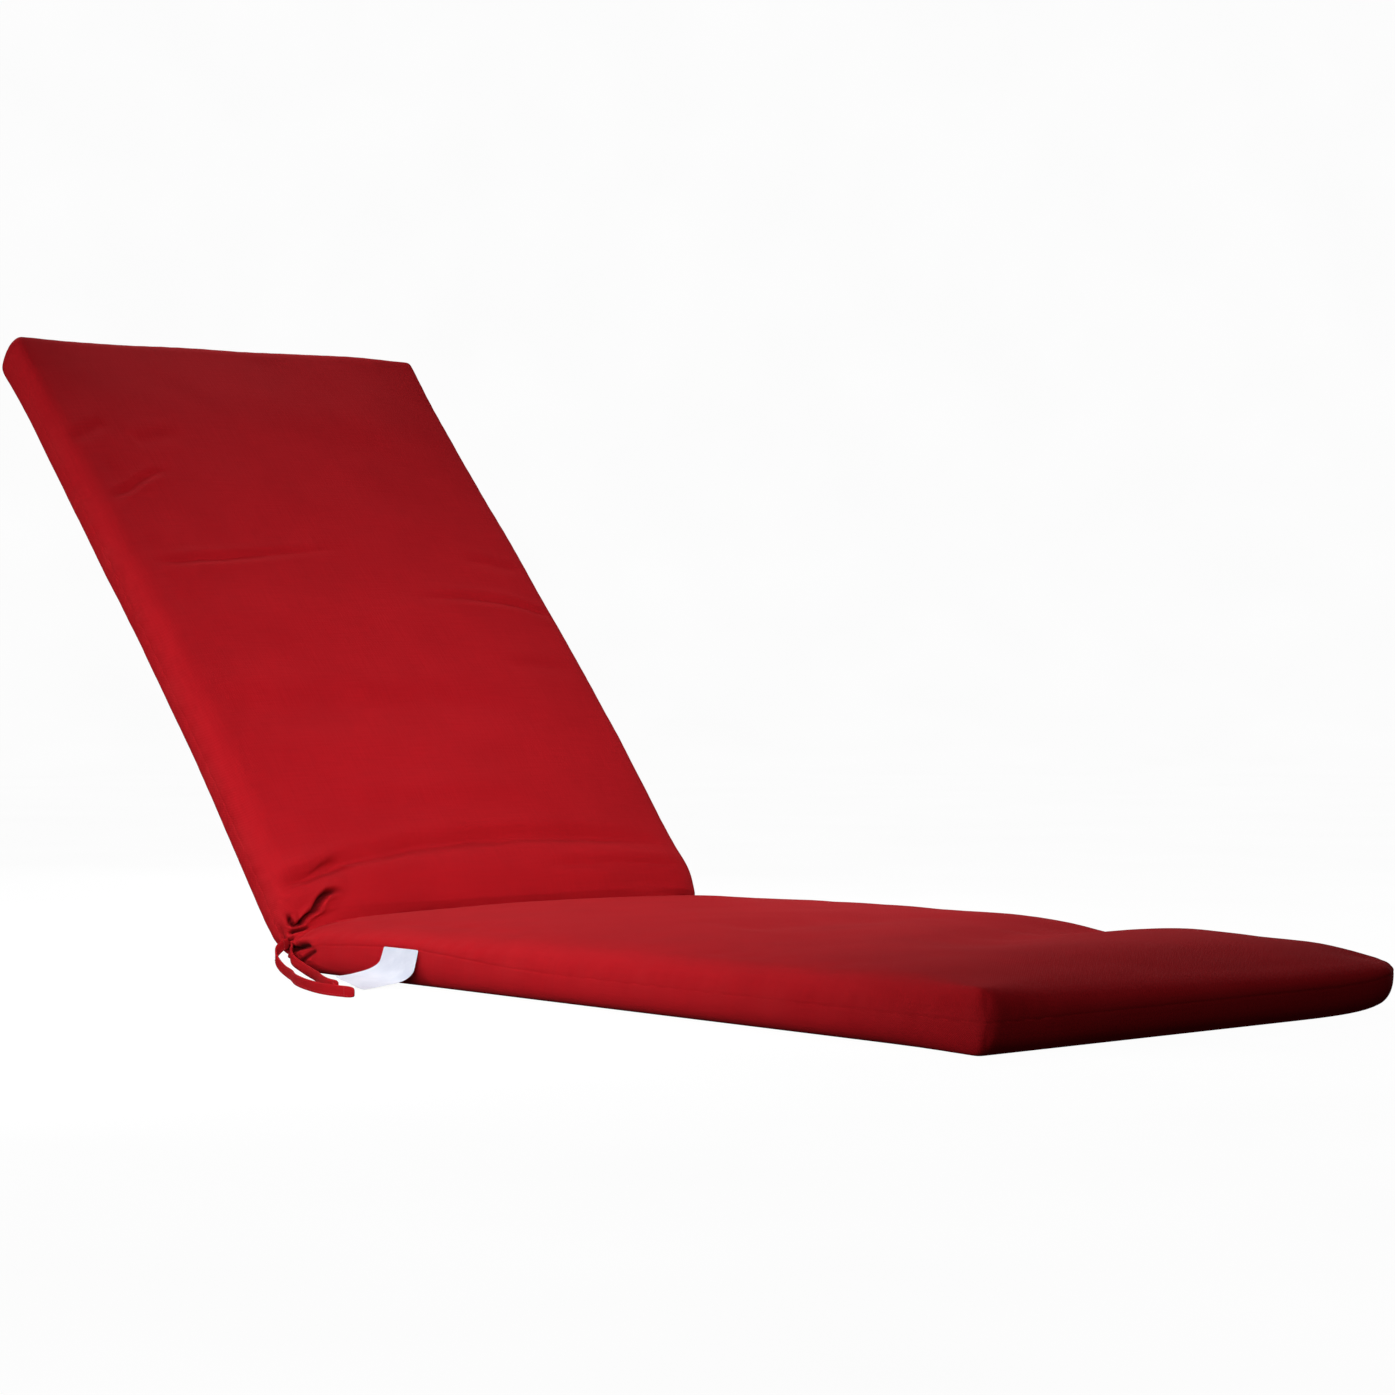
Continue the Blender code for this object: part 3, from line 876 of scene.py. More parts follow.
@dataclass(frozen=True)
class PaddedCushion:
    """The filled pad, from its two sewn panels to the creases in its cover."""

    form: PadForm = PadForm()
    name: str = "padded_cushion"
    packed_node: str = "cushion"
    slot: str = "cover_cloth"
    fill: float = 0.65

    # Fineness of the mesh before it is subdivided
    long_step: float = 0.0115
    hinge_step: float = 0.0030
    across_step: float = 0.024
    near_step: float = 0.0056  # beside the near edge, where the puckers run
    near_reach: float = 0.092
    hinge_from: float = -0.062
    hinge_to: float = 0.112
    fold_step: float = 0.005  # where the sharper folds of the back run
    fold_stretches: tuple[tuple[float, float], ...] = ((0.422, 0.462), (0.498, 0.538), (0.598, 0.658))
    edge_reach: float = 0.036
    edge_turns: tuple[float, ...] = (0.0, 0.5, 1.6, 3.6, 6.8, 11.2, 17.0, 24.0, 32.0, 41.0, 51.0, 62.0, 73.0, 82.0)

    # The filling pushes the cover out from a slightly smaller shape
    slack: float = 0.0045
    swell_limit: float = 0.0055
    sink_limit: float = 0.0006
    swell_reach: float = 0.11
    swell_frames: int = 20
    pressure: float = 4.0
    spare_cloth: float = 0.006
    held_edge: float = 0.004  # beside the seam, which stays where it is
    held_run: float = 0.02  # the underside is held up to here, on the floor

    # Where the puckers are looked for, and how deep one is before its bottom gets the full painted shade
    gather_across: float = 0.15
    gather_run: float = 0.09
    pleat_reach: float = 0.08
    shaded_depth: float = 0.0048

    # The seam and what it does to the cloth beside it
    groove_depth: float = 0.0008
    groove_half: float = 0.0012
    faint_groove: float = 0.35  # the share of the groove's depth that is left far from the label
    groove_reach: float = 0.14
    ripple_height: float = 0.0008
    ripple_spacing: float = 0.024
    ripple_reach: float = 0.011
    unevenness: float = 0.0016

    # Where the cloth is rubbed paler: beside the seam, and where it stands up
    worn_reach: float = 0.02
    worn_patches: float = 25.0  # a metre
    worn_height: float = 0.003

    folds: tuple[Fold, ...] = (
        # The arch over the roll at the foot of the back
        Fold(0.066, -0.275, 0.086, 0.276, 0.009, 0.0068, bow=0.030, pinch=0.08, start=0.04, lip=0.12),
        Fold(0.065, -0.279, 0.089, -0.150, 0.008, 0.0034, bow=0.0015, pinch=0.12, start=0.08, end=0.75, lip=0.12),
        # The short one on the far side
        Fold(0.064, 0.060, 0.059, 0.272, 0.007, 0.0035, bow=0.002, pinch=0.3),
        # Up the back
        Fold(0.286, -0.268, 0.281, 0.180, 0.020, 0.0022, bow=0.004, pinch=0.0, wobble=0.006),
        Fold(0.442, 0.050, 0.430, 0.274, 0.0060, 0.0036, bow=0.011, pinch=0.4, start=0.55, end=0.12),
        Fold(0.506, -0.260, 0.529, 0.030, 0.0055, 0.0038, bow=-0.006, pinch=0.4, start=0.2, end=0.8),
        Fold(0.604, -0.262, 0.650, -0.172, 0.0050, 0.0032, bow=0.002, pinch=0.4, start=0.25, end=0.4),
        Fold(0.508, 0.176, 0.504, 0.262, 0.008, 0.0016, pinch=0.1),
        Fold(0.346, 0.150, 0.346, 0.262, 0.009, 0.0016, pinch=0.1),
        Fold(0.147, -0.173, 0.155, 0.098, 0.016, 0.0018, bow=0.003, pinch=0.0),
        Fold(0.701, -0.270, 0.726, -0.218, 0.008, 0.0018, pinch=0.1),
        Fold(0.692, -0.197, 0.708, -0.130, 0.010, 0.0014, pinch=0.1),
        # The valley across the seat, and the shallow dent beside it
        Fold(-0.630, 0.290, -0.800, -0.140, 0.055, 0.0060, bow=0.010, pinch=0.0, wobble=0.0),
        Fold(-0.500, -0.120, -0.560, 0.160, 0.050, 0.0030, pinch=0.0, wobble=0.0),
    )
    near_puckers: tuple[Pucker, ...] = (
        # The long one that curves up the back, and the hook at its foot
        Pucker(
            (
                (0.017, 0.021), (0.020, 0.025), (0.030, 0.037), (0.0345, 0.0455),
                (0.0445, 0.057), (0.0495, 0.0675), (0.050, 0.079), (0.049, 0.092),
            ),
            half=0.0027,
            depth=0.0095,
        ),
        Pucker(((0.036, 0.018), (0.026, 0.017), (0.020, 0.018), (0.018, 0.024)), half=0.0024, depth=0.0080),
        # The short ones in the gather
        Pucker(((0.013, 0.011), (0.0105, 0.016), (0.0075, 0.0225), (0.008, 0.031)), half=0.0028, depth=0.0090),
        Pucker(((0.006, 0.001), (0.003, 0.005), (0.001, 0.010)), half=0.0025, depth=0.0065),
        # The ones that the seam and the ties draw in
        Pucker(
            ((0.013, -0.018), (-0.001, -0.003), (-0.018, 0.0005), (-0.033, 0.0015), (-0.050, 0.001), (-0.070, -0.005)),
            half=0.0031,
            depth=0.0090,
        ),
        Pucker(((-0.064, -0.0045), (-0.048, -0.010), (-0.032, -0.0155), (-0.024, -0.020)), half=0.0027, depth=0.0060),
        Pucker(((-0.014, 0.006), (-0.016, 0.013), (-0.024, 0.022)), half=0.0024, depth=0.0040),
    )
    near_pleats: tuple[Pleat, ...] = (
        Pleat(6, 0.050, 0.0022, 0.0040),
        Pleat(150, 0.040, 0.0022, 0.0036),
        Pleat(174, 0.058, 0.0018, 0.0040),
        Pleat(-30, 0.034, 0.0028, 0.0034),
        Pleat(-72, 0.040, 0.0034, 0.0034),
        Pleat(-112, 0.038, 0.0034, 0.0034),
        Pleat(-150, 0.040, 0.0028, 0.0036),
    )
    far_pleats: tuple[Pleat, ...] = (
        Pleat(20, 0.040, 0.0022, 0.0044),
        Pleat(64, 0.050, 0.0030, 0.0044),
        Pleat(112, 0.050, 0.0030, 0.0044),
        Pleat(160, 0.040, 0.0022, 0.0044),
        Pleat(-60, 0.034, 0.0022, 0.0044),
        Pleat(-120, 0.034, 0.0022, 0.0044),
    )

    def build(self, finish: Material) -> Object:
        """Makes the cushion.

        Args:
            finish: The cover's canvas.

        Returns:
            The piece.
        """
        cushion = add_object(self.name, self._sewn_panels(), finish)
        self._swell(cushion)
        subdivide(cushion)
        apply_modifiers(cushion)
        self._crease(cushion)
        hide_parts(self.packed_node)
        return cushion

    def _edge_insets(self) -> list[float]:
        """Insets from a seam that follow the rounding of an edge, finest beside the seam."""
        power = 2 / self.form.edge_power
        return [self.edge_reach * (1 - math.cos(math.radians(turn)) ** power) for turn in self.edge_turns]

    @staticmethod
    def _evenly(start: float, end: float, step: float) -> list[float]:
        """Places from start up to but not including end, at most one step apart."""
        count = math.ceil((end - start) / step - 1e-6)
        return [start + (end - start) * index / count for index in range(count)]

    def _stations(self) -> tuple[list[float], list[float]]:
        """Finds where the mesh is cut.

        Returns:
            The places along the pad and the places across it.
        """
        form = self.form
        insets = self._edge_insets()
        inner = form.foot_end + self.edge_reach
        runs = [form.foot_end + inset for inset in insets]
        runs += self._evenly(inner, self.hinge_from, self.long_step)
        runs += self._evenly(self.hinge_from, self.hinge_to, self.hinge_step)
        reached = self.hinge_to
        for start, end in self.fold_stretches:
            runs += self._evenly(reached, start, self.long_step) + self._evenly(start, end, self.fold_step)
            reached = end
        runs += self._evenly(reached, form.head_end - self.edge_reach, self.long_step)
        runs.append(form.head_end - self.edge_reach)
        runs += [form.head_end - inset for inset in reversed(insets)]
        middle = form.width / 2 - self.edge_reach
        fine_end = self.near_reach - form.width / 2
        acrosses = [inset - form.width / 2 for inset in insets]
        acrosses += self._evenly(-middle, fine_end, self.near_step)
        acrosses += self._evenly(fine_end, middle, self.across_step)
        acrosses.append(middle)
        acrosses += [form.width / 2 - inset for inset in reversed(insets)]
        return runs, acrosses

    def _sewn_panels(self) -> bmesh.types.BMesh:
        """Makes the two panels and joins them at their seam.

        Returns:
            The closed cover, with its UV map in metres of cloth and what the later steps need at each point.
        """
        mesh = bmesh.new()
        layers = {name: mesh.verts.layers.float.new(name) for name in CLOTH_PLACES}
        mesh.loops.layers.uv.new(CLOTH_UV)
        runs, acrosses = self._stations()
        for panel in Panel:
            self._add_panel(mesh, panel, runs, acrosses, layers)
        bmesh.ops.remove_doubles(mesh, verts=mesh.verts, dist=MERGE_DISTANCE)
        bmesh.ops.recalc_face_normals(mesh, faces=mesh.faces)
        return mesh

    def _add_panel(
        self,
        mesh: bmesh.types.BMesh,
        panel: Panel,
        runs: list[float],
        acrosses: list[float],
        layers: dict[str, bmesh.types.BMLayerItem],
    ) -> None:
        """Adds one panel from a plain grid whose lines are moved to the stations.

        Args:
            mesh: The cover so far.
            panel: Which panel.
            runs: The places along the pad where the grid is cut.
            acrosses: The places across the pad where it is cut.
            layers: The point layers that keep where each point is on the cloth.
        """
        form = self.form
        rows = []
        for run in runs:
            row = []
            for across in acrosses:
                height = self._slimmer(run, across, form.height(run, across, panel), panel)
                new_run, new_across = form.turned_corner(run, across)
                row.append(form.place(new_run, form.drawn_in(new_run, new_across), height))
            rows.append(row)
        girths = [self._lengths(row, len(acrosses) // 2) for row in rows]
        hinge = min(range(len(runs)), key=lambda index: abs(runs[index]))
        columns = [list(column) for column in zip(*rows)]
        reaches = [self._lengths(column, hinge) for column in columns]
        last_run, last_across = len(runs) - 1, len(acrosses) - 1
        grid = bmesh.ops.create_grid(mesh, x_segments=last_run, y_segments=last_across, size=0.5)
        cloth = mesh.loops.layers.uv[CLOTH_UV]
        for vert in grid["verts"]:
            i = round((vert.co.x + 0.5) * last_run)
            j = round((vert.co.y + 0.5) * last_across)
            vert.co = rows[i][j]
            u, v = reaches[j][i], girths[i][j]
            from_side = min(v - girths[i][0], girths[i][-1] - v)
            from_end = min(u - reaches[j][0], reaches[j][-1] - u)
            on_seam = i in (0, last_run) or j in (0, last_across)
            vert[layers["run"]] = runs[i]
            vert[layers["across"]] = acrosses[j]
            vert[layers["upper"]] = 1.0 if on_seam else panel.value
            vert[layers["from_seam"]] = min(from_side, from_end)
            for loop in vert.link_loops:
                loop[cloth].uv = (u, v)

    def _slimmer(self, run: float, across: float, height: float, panel: Panel) -> float:
        """The height here before the filling swells the cover, which it does to the upper panel alone."""
        slack = 0.0 if (panel is Panel.UNDER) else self.slack
        return height - slack * self._swollen_share(run, across)

    def _swollen_share(self, run: float, across: float) -> float:
        """How far the cover swells at this place, from 0 at the pad's edges to 1 well inside them."""
        from_end = min(run - self.form.foot_end, self.form.head_end - run)
        from_side = self.form.width / 2 - abs(across)
        return ease(min(from_end, from_side) / self.swell_reach)

    @staticmethod
    def _lengths(points: list[Vector], middle: int) -> list[float]:
        """Measures a line of the cloth.

        Args:
            points: The points on it.
            middle: The number of the point that it is measured from.

        Returns:
            Each point's distance along the line, negative before the middle.
        """
        total, lengths = 0.0, [0.0]
        for start, end in zip(points, points[1:]):
            total += (end - start).length
            lengths.append(total)
        return [length - lengths[middle] for length in lengths]

    @staticmethod
    def _on_cloth(data: Mesh) -> list[list[float]]:
        """Where each point of the cover is on the cloth: a list for each name in CLOTH_PLACES."""
        return [[item.value for item in data.attributes[name].data] for name in CLOTH_PLACES]

    def _swell(self, cushion: Object) -> None:
        """Lets the filling push the cover out, by a cloth simulation, no further than the limit.

        Args:
            cushion: The sewn panels.
        """
        start = [(vert.co.copy(), vert.normal.copy()) for vert in cushion.data.vertices]
        run, across, upper, from_seam = self._on_cloth(cushion.data)
        held = cushion.vertex_groups.new(name="held")
        for index in range(len(start)):
            at_seam = 1 - ease(from_seam[index] / self.held_edge)
            on_floor = 1.0 if upper[index] < 0.5 and run[index] < self.held_run else 0.0
            held.add([index], max(at_seam, on_floor), "REPLACE")
        cloth = cushion.modifiers.new("Filling", "CLOTH")
        settings = cloth.settings
        for name, value in COVER_CLOTH.items():
            setattr(settings, name, value)
        settings.uniform_pressure_force = self.pressure
        settings.shrink_min = -self.spare_cloth
        settings.effector_weights.gravity = 0.0
        settings.vertex_group_mass = held.name
        cloth.collision_settings.use_collision = False
        scene = bpy.context.scene
        for frame in range(1, self.swell_frames + 1):
            scene.frame_set(frame)
        apply_modifiers(cushion)
        scene.frame_set(1)
        for index, (vert, (old, normal)) in enumerate(zip(cushion.data.vertices, start)):
            move = vert.co - old
            inward = min(0.0, move.dot(normal))
            move -= normal * (inward - max(inward, -self.sink_limit))
            limit = self.swell_limit * self._swollen_share(run[index], across[index])
            if move.length > limit:
                move *= limit / move.length
            vert.co = old + move
        LOG.info("the filling may move the cover by up to %.1f mm", self.swell_limit * 1000)

    def _pleat_depth(self, pleats: tuple[Pleat, ...], run: float, up: float) -> float:
        """Finds how far the puckers round one end of the hinge sink the cloth.

        Args:
            pleats: The puckers there.
            run: The place along the pad.
            up: The distance from the seam over the cloth, negative on the underside.

        Returns:
            The depth in metres.
        """
        away = math.hypot(run, up)
        if away > self.pleat_reach:
            return 0.0
        turn = math.atan2(up, run)
        depth = 0.0
        for pleat in pleats:
            apart = turn - math.radians(pleat.angle)
            apart = math.atan2(math.sin(apart), math.cos(apart))
            if abs(apart) > math.pi / 2:
                continue
            half = pleat.half * (0.35 + 0.65 * min(1.0, away / pleat.length) + 0.2)
            wander = 0.0015 * noise.noise(Vector((away / 0.012, pleat.angle, 3.0)))
            fade = ease(away / 0.005) * ease((pleat.length - away) / (0.7 * pleat.length))
            depth += pleat.depth * fade * bell(away * math.sin(apart) + wander, half)
        return depth

    def _crease(self, cushion: Object) -> None:
        """Puts the seam, the puckers, the folds and a little unevenness into the finished cover.

        Args:
            cushion: The swollen, subdivided pad.
        """
        data = cushion.data
        form = self.form
        run, across, upper, from_seam = self._on_cloth(data)
        normals = [vert.normal.copy() for vert in data.vertices]
        worn = data.attributes.new(WORN_ATTRIBUTE, "FLOAT", "POINT")
        painted_shade = data.attributes.new(PAINTED_SHADE_ATTRIBUTE, "FLOAT", "POINT")
        for index, vert in enumerate(data.vertices):
            here, side, seam = run[index], across[index], from_seam[index]
            is_upper = upper[index] > 0.5
            up = seam if is_upper else -seam
            pleats = self.near_pleats if side < 0 else self.far_pleats
            lower = self._pleat_depth(pleats, here, up) if abs(side) > self.gather_across else 0.0
            if side < -self.gather_across and abs(here) < self.gather_run:
                depths = [pucker.depth_at(here, up) for pucker in self.near_puckers]
                lower += min(0.0, *depths) + max(0.0, *depths)
            # How much painted shade the cover gets here, from how deep the puckers sink it
            painted_shade.data[index].value = min(1.0, max(0.0, lower / self.shaded_depth))
            if is_upper:
                lower += upper[index] * sum(fold.depth_at(here, side) for fold in self.folds)
            by_label = bell(here - form.seam_rise_run, self.groove_reach)
            drawn = self.faint_groove + (1 - self.faint_groove) * by_label
            lower += self.groove_depth * drawn * bell(seam, self.groove_half)
            lower += self._ripple(here, side, seam, is_upper)
            on_floor = not is_upper and here < form.bend_start
            if on_floor:
                above = vert.co.z - form.seam_height(here, side)
                lower = max(0.0, lower) * bell(above, form.level_seam / 2)
            else:
                lower += self._uneven(here, side, seam, is_upper)
            vert.co -= normals[index] * lower
            patchy = 0.5 + 0.5 * noise.noise(Vector((here, side, up)) * self.worn_patches)
            raised = max(0.0, -lower / self.worn_height)
            worn.data[index].value = min(1.0, bell(seam, self.worn_reach) * patchy + 0.6 * raised)
        for name in CLOTH_PLACES:
            data.attributes.remove(data.attributes[name])
        data.update()

    def _ripple(self, run: float, across: float, seam: float, is_upper: bool) -> float:
        """Finds the small waves that the stitching leaves in the cloth beside the seam.

        Args:
            run: The place along the pad.
            across: The place across it.
            seam: The distance from the seam over the cloth.
            is_upper: Whether it is on the upper panel.

        Returns:
            The depth in metres.
        """
        along = run + across
        phase = 3 * noise.noise(Vector((along / 0.09, 5.0 if is_upper else 9.0, 0.0)))
        strength = 0.55 + 0.45 * noise.noise(Vector((along / 0.13, 1.0, 2.0)))
        wave = math.sin(2 * math.pi * along / self.ripple_spacing + phase)
        return self.ripple_height * strength * wave * bell(seam - 0.6 * self.ripple_reach, self.ripple_reach)

    def _uneven(self, run: float, across: float, seam: float, is_upper: bool) -> float:
        """Finds how far the filling's own unevenness sinks or lifts the cloth.

        Args:
            run: The place along the pad.
            across: The place across it.
            seam: The distance from the seam over the cloth.
            is_upper: Whether it is on the upper panel.

        Returns:
            The depth in metres.
        """
        layer = 0.0 if is_upper else 4.0
        wide = noise.noise(Vector((run / 0.14, across / 0.11, layer)))
        small = noise.noise(Vector((run / 0.045, across / 0.06, layer + 1)))
        return self.unevenness * (0.7 * wide + 0.3 * small) * ease(seam / 0.03)


@dataclass(frozen=True)
class SewnTie:
    """A tie: a strip of the cover canvas, folded in on itself and topstitched along its open edge."""

    name: str
    packed_node: str
    start_run: float
    start_off: float
    points: tuple[Point, ...]  # x, distance out from the pad's near side, and z
    seed: float
    form: PadForm = PadForm()
    slot: str = "tie_cloth"
    width: float = 0.011
    thickness: float = 0.0025
    clearance: float = 0.0003
    steps: int = 90
    root: float = 0.004  # how much of it is caught in the seam
    outline: tuple[tuple[float, float], ...] = (
        (0.55, 0.94), (0.92, 0.76), (1.00, 0.35), (0.95, -0.20),
        (0.80, -0.60), (0.98, -0.82), (0.62, -1.00), (0.14, -0.95),
    )
    stitch_line: float = -0.60
    stitch_spacing: float = 0.0032
    stitch_length: float = 0.0023
    stitch_width: float = 0.0007
    bars: tuple[int, int] = (2, -5)  # the steps of its line where it is sewn across
    bar_stitches: int = 9

    def line(self) -> list[Vector]:
        """Finds the middle of the tie, from the seam to its far end.

        Returns:
            Points an equal step apart.
        """
        side = self.form.near_side(self.start_run)
        height = self.form.seam_height(self.start_run, side)
        route = [self.form.place(self.start_run, side - self.start_off - self.clearance, height)]
        route += [Vector((x, -self.form.width / 2 - out, z)) for x, out, z in self.points]
        return smooth_line(route, self.steps)

    def _turns(self, line: list[Vector]) -> list[Matrix]:
        """Finds how the tape stands at each point of its line.

        Args:
            line: The middle of the tie.

        Returns:
            Matrices whose X is the tape's thickness, Y its width and Z its length.
        """
        turns = []
        for index, middle in enumerate(line):
            tangent = (line[min(index + 1, len(line) - 1)] - line[max(index - 1, 0)]).normalized()
            flat = tangent.cross(Vector((0, 0, 1))).normalized()
            upright = flat.cross(tangent)
            lean = 0.10 * noise.noise(Vector((index / 14, self.seed, 0.0)))
            spun = Matrix.Rotation(lean, 3, tangent)
            turn = Matrix((spun @ flat, spun @ upright, tangent)).transposed().to_4x4()
            turn.translation = middle
            turns.append(turn)
        return turns

    def build(self, canvas: Material, thread: Material) -> tuple[Object, Object]:
        """Makes the tie and its stitching.

        Args:
            canvas: The tape's finish.
            thread: The stitching's finish.

        Returns:
            The tape and its stitches.
        """
        line = self.line()
        turns = self._turns(line)
        tape = add_object(self.name, self._tape(line, turns), canvas)
        subdivide(tape)
        apply_modifiers(tape)
        stitches = add_object(f"{self.name}_stitching", self._stitches(turns), thread)
        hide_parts(self.packed_node)
        return tape, stitches

    def _tape(self, line: list[Vector], turns: list[Matrix]) -> bmesh.types.BMesh:
        """Makes the folded strip.

        Args:
            line: The middle of the tie.
            turns: How it stands at each point of that line.

        Returns:
            A closed tape with its UV map in metres of cloth.
        """
        mesh = bmesh.new()
        cloth = mesh.loops.layers.uv.new(CLOTH_UV)
        mesh.verts.layers.float.new(WORN_ATTRIBUTE)
        outline = (*((0.0, 1.0),), *self.outline, (0.0, -0.84))
        outline = (*outline, *((-thick, wide) for thick, wide in reversed(self.outline)))
        inward = -(turns[0].to_3x3() @ Vector((0, 0, 1))) * self.root
        first = turns[0].copy()
        first.translation += inward
        rings = []
        for index, turn in enumerate([first, *turns]):
            end_share = min(1.0, (len(turns) - index) / 2.5)
            size = 0.72 + 0.28 * math.sqrt(max(0.0, end_share))
            puff = 1 + 0.18 * noise.noise(Vector((index / 6, self.seed, 5.0)))
            ring = bmesh.ops.create_circle(mesh, segments=len(outline), radius=1.0)["verts"]
            for vert, (thick, wide) in zip(ring, outline):
                at = Vector((thick * self.thickness / 2 * puff, wide * self.width / 2 * size, 0.0))
                vert.co = turn @ at
            rings.append([edge for edge in mesh.edges if set(edge.verts) <= set(ring)])
        for before, after in zip(rings, rings[1:]):
            bmesh.ops.bridge_loops(mesh, edges=before + after)
        bmesh.ops.holes_fill(mesh, edges=rings[0] + rings[-1], sides=0)
        bmesh.ops.recalc_face_normals(mesh, faces=mesh.faces)
        step = line_length(line) / (len(line) - 1)
        count = len(outline)
        for face in mesh.faces:
            for loop in face.loops:
                ring_number, around = divmod(loop.vert.index, count)
                wide = outline[around][1] * self.width / 2
                loop[cloth].uv = (ring_number * step, wide)
        return mesh

    def _stitches(self, turns: list[Matrix]) -> bmesh.types.BMesh:
        """Makes the topstitching, and the bars of stitches that hold the tie to the pad and close its end.

        Args:
            turns: How the tape stands at each point of its line.

        Returns:
            One small round stitch after another.
        """
        mesh = bmesh.new()
        step = (turns[1].translation - turns[0].translation).length
        count = int((len(turns) - 3) * step / self.stitch_spacing)
        face = 0.41 * self.thickness
        for number in range(2, count):
            turn = turns[min(len(turns) - 2, round(number * self.stitch_spacing / step))]
            for side in (-1, 1):
                at = Vector((side * face, self.stitch_line * self.width / 2, 0.0))
                self._add_stitch(mesh, turn, at, along=True)
        for bar in self.bars:
            for wide in range(-(self.bar_stitches // 2), self.bar_stitches // 2 + 1):
                for side in (-1, 1):
                    at = Vector((side * 0.5 * self.thickness, wide * self.width / 10, 0.0))
                    self._add_stitch(mesh, turns[bar], at, along=False)
        return mesh

    def _add_stitch(self, mesh: bmesh.types.BMesh, turn: Matrix, at: Vector, along: bool) -> None:
        """Adds one stitch to the tape.

        Args:
            mesh: The stitches so far.
            turn: How the tape stands there.
            at: The stitch's place in the tape's section.
            along: Whether it lies along the tape, and not across it.
        """
        half, radius = self.stitch_length / 2, self.stitch_width / 2
        sizes = (radius, radius, half) if along else (radius, half * 0.6, radius)
        matrix = turn @ Matrix.Translation(at) @ Matrix.Diagonal((*sizes, 1.0))
        bmesh.ops.create_uvsphere(mesh, u_segments=6, v_segments=4, radius=1.0, matrix=matrix)


@dataclass(frozen=True)
class LabelRow:
    """A line across the label: shift is how far it has moved towards the hinge, and out is from the seam."""

    shift: float
    hinge_out: float
    hinge_z: float
    foot_out: float
    foot_z: float


@dataclass(frozen=True)
class CareLabel:
    """The blank care label, which hangs from the side seam and bends out over the floor."""

    form: PadForm = PadForm()
    name: str = "care_label_ribbon"
    packed_node: str = "care_label"
    slot: str = "label_cloth"
    foot_x: float = -0.273
    width: float = 0.056
    packed_thickness: float = 0.0012
    thickness: float = 0.0006
    clearance: float = 0.0003
    root: float = 0.004  # how much of it is caught in the seam
    columns: int = 20
    steps: int = 30
    rows: tuple[LabelRow, ...] = (
        LabelRow(0.000, 0.0, 0.0372, 0.0, 0.0372),
        LabelRow(0.000, 0.0028, 0.0290, 0.0030, 0.0255),
        LabelRow(0.001, 0.0060, 0.0215, 0.0064, 0.0145),
        LabelRow(0.006, 0.0150, 0.0150, 0.0160, 0.0070),
        LabelRow(0.012, 0.0300, 0.0108, 0.0330, 0.0035),
        LabelRow(0.018, 0.0450, 0.0085, 0.0510, 0.0012),
    )

    def _edge(self, x: float, rows: list[tuple[float, float, float]]) -> list[Vector]:
        """Finds one long edge of the label.

        Args:
            x: Where the edge leaves the seam.
            rows: How far each place on it has shifted, its distance out and its height.

        Returns:
            Points an equal step apart.
        """
        run = self.form.foot_end + self.form.seat_flat / 2 - x
        seam = self.form.near_side(run) - self.clearance - self.packed_thickness / 2
        points = [Vector((x - shift, seam - out, z)) for shift, out, z in rows]
        return smooth_line(points, self.steps)

    def build(self, ribbon: Material) -> Object:
        """Makes the label.

        Args:
            ribbon: Its finish.

        Returns:
            The piece.
        """
        foot = self._edge(self.foot_x, [(row.shift, row.foot_out, row.foot_z) for row in self.rows])
        hinge_x = self.foot_x - self.width
        hinge = self._edge(hinge_x, [(row.shift, row.hinge_out, row.hinge_z) for row in self.rows])
        length = (line_length(foot) + line_length(hinge)) / 2
        mesh = bmesh.new()
        cloth = mesh.loops.layers.uv.new(CLOTH_UV)
        grid = bmesh.ops.create_grid(mesh, x_segments=self.columns, y_segments=self.steps, size=0.5)
        for vert in grid["verts"]:
            wide, down = vert.co.x + 0.5, vert.co.y + 0.5
            for loop in vert.link_loops:
                loop[cloth].uv = (wide * self.width, down * length)
            row = round(down * self.steps)
            vert.co = hinge[row].lerp(foot[row], wide) + self._curl(wide, down)
        bmesh.ops.recalc_face_normals(mesh, faces=mesh.faces)
        label = add_object(self.name, mesh, ribbon)
        wall = label.modifiers.new("Ribbon thickness", "SOLIDIFY")
        wall.thickness = self.thickness
        wall.offset = 0.0
        subdivide(label)
        apply_modifiers(label)
        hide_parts(self.packed_node)
        return label

    def _curl(self, wide: float, down: float) -> Vector:
        """Finds how far the ribbon curls and waves away from its plain shape.

        Args:
            wide: The place across the label, from 0 at its hinge side to 1 at its foot side.
            down: The place down it, from 0 at the seam to 1 at its free end.

        Returns:
            The move.
        """
        free = ease(down / 0.5)
        wave = 0.0012 * noise.noise(Vector((wide * 2.2, down * 2.6, 1.5)))
        edge = 0.0010 * abs(2 * wide - 1) ** 3
        return Vector((0.0, 0.0, free * (wave + edge)))


@dataclass(frozen=True)
class SoftLamp:
    """A soft box lamp: its place, its power in watts, how far it spreads, what it points at and its size."""

    name: str
    place: Point
    power: float
    spread: float
    aim: Point = (-0.55, 0.00, 0.15)
    side: float = 0.5
    colour: str = "#FFFFFF"

    def hang(self) -> None:
        """Adds the lamp."""
        data = bpy.data.lights.new(self.name, "AREA")
        data.shape = "SQUARE"
        data.size = self.side
        data.energy = self.power
        data.spread = math.radians(self.spread)
        data.color = linear(self.colour)[:3]
        lamp = bpy.data.objects.new(self.name, data)
        lamp.location = self.place
        towards = Vector(self.aim) - Vector(self.place)
        lamp.rotation_euler = towards.to_track_quat("-Z", "Y").to_euler()
        bpy.context.scene.collection.objects.link(lamp)


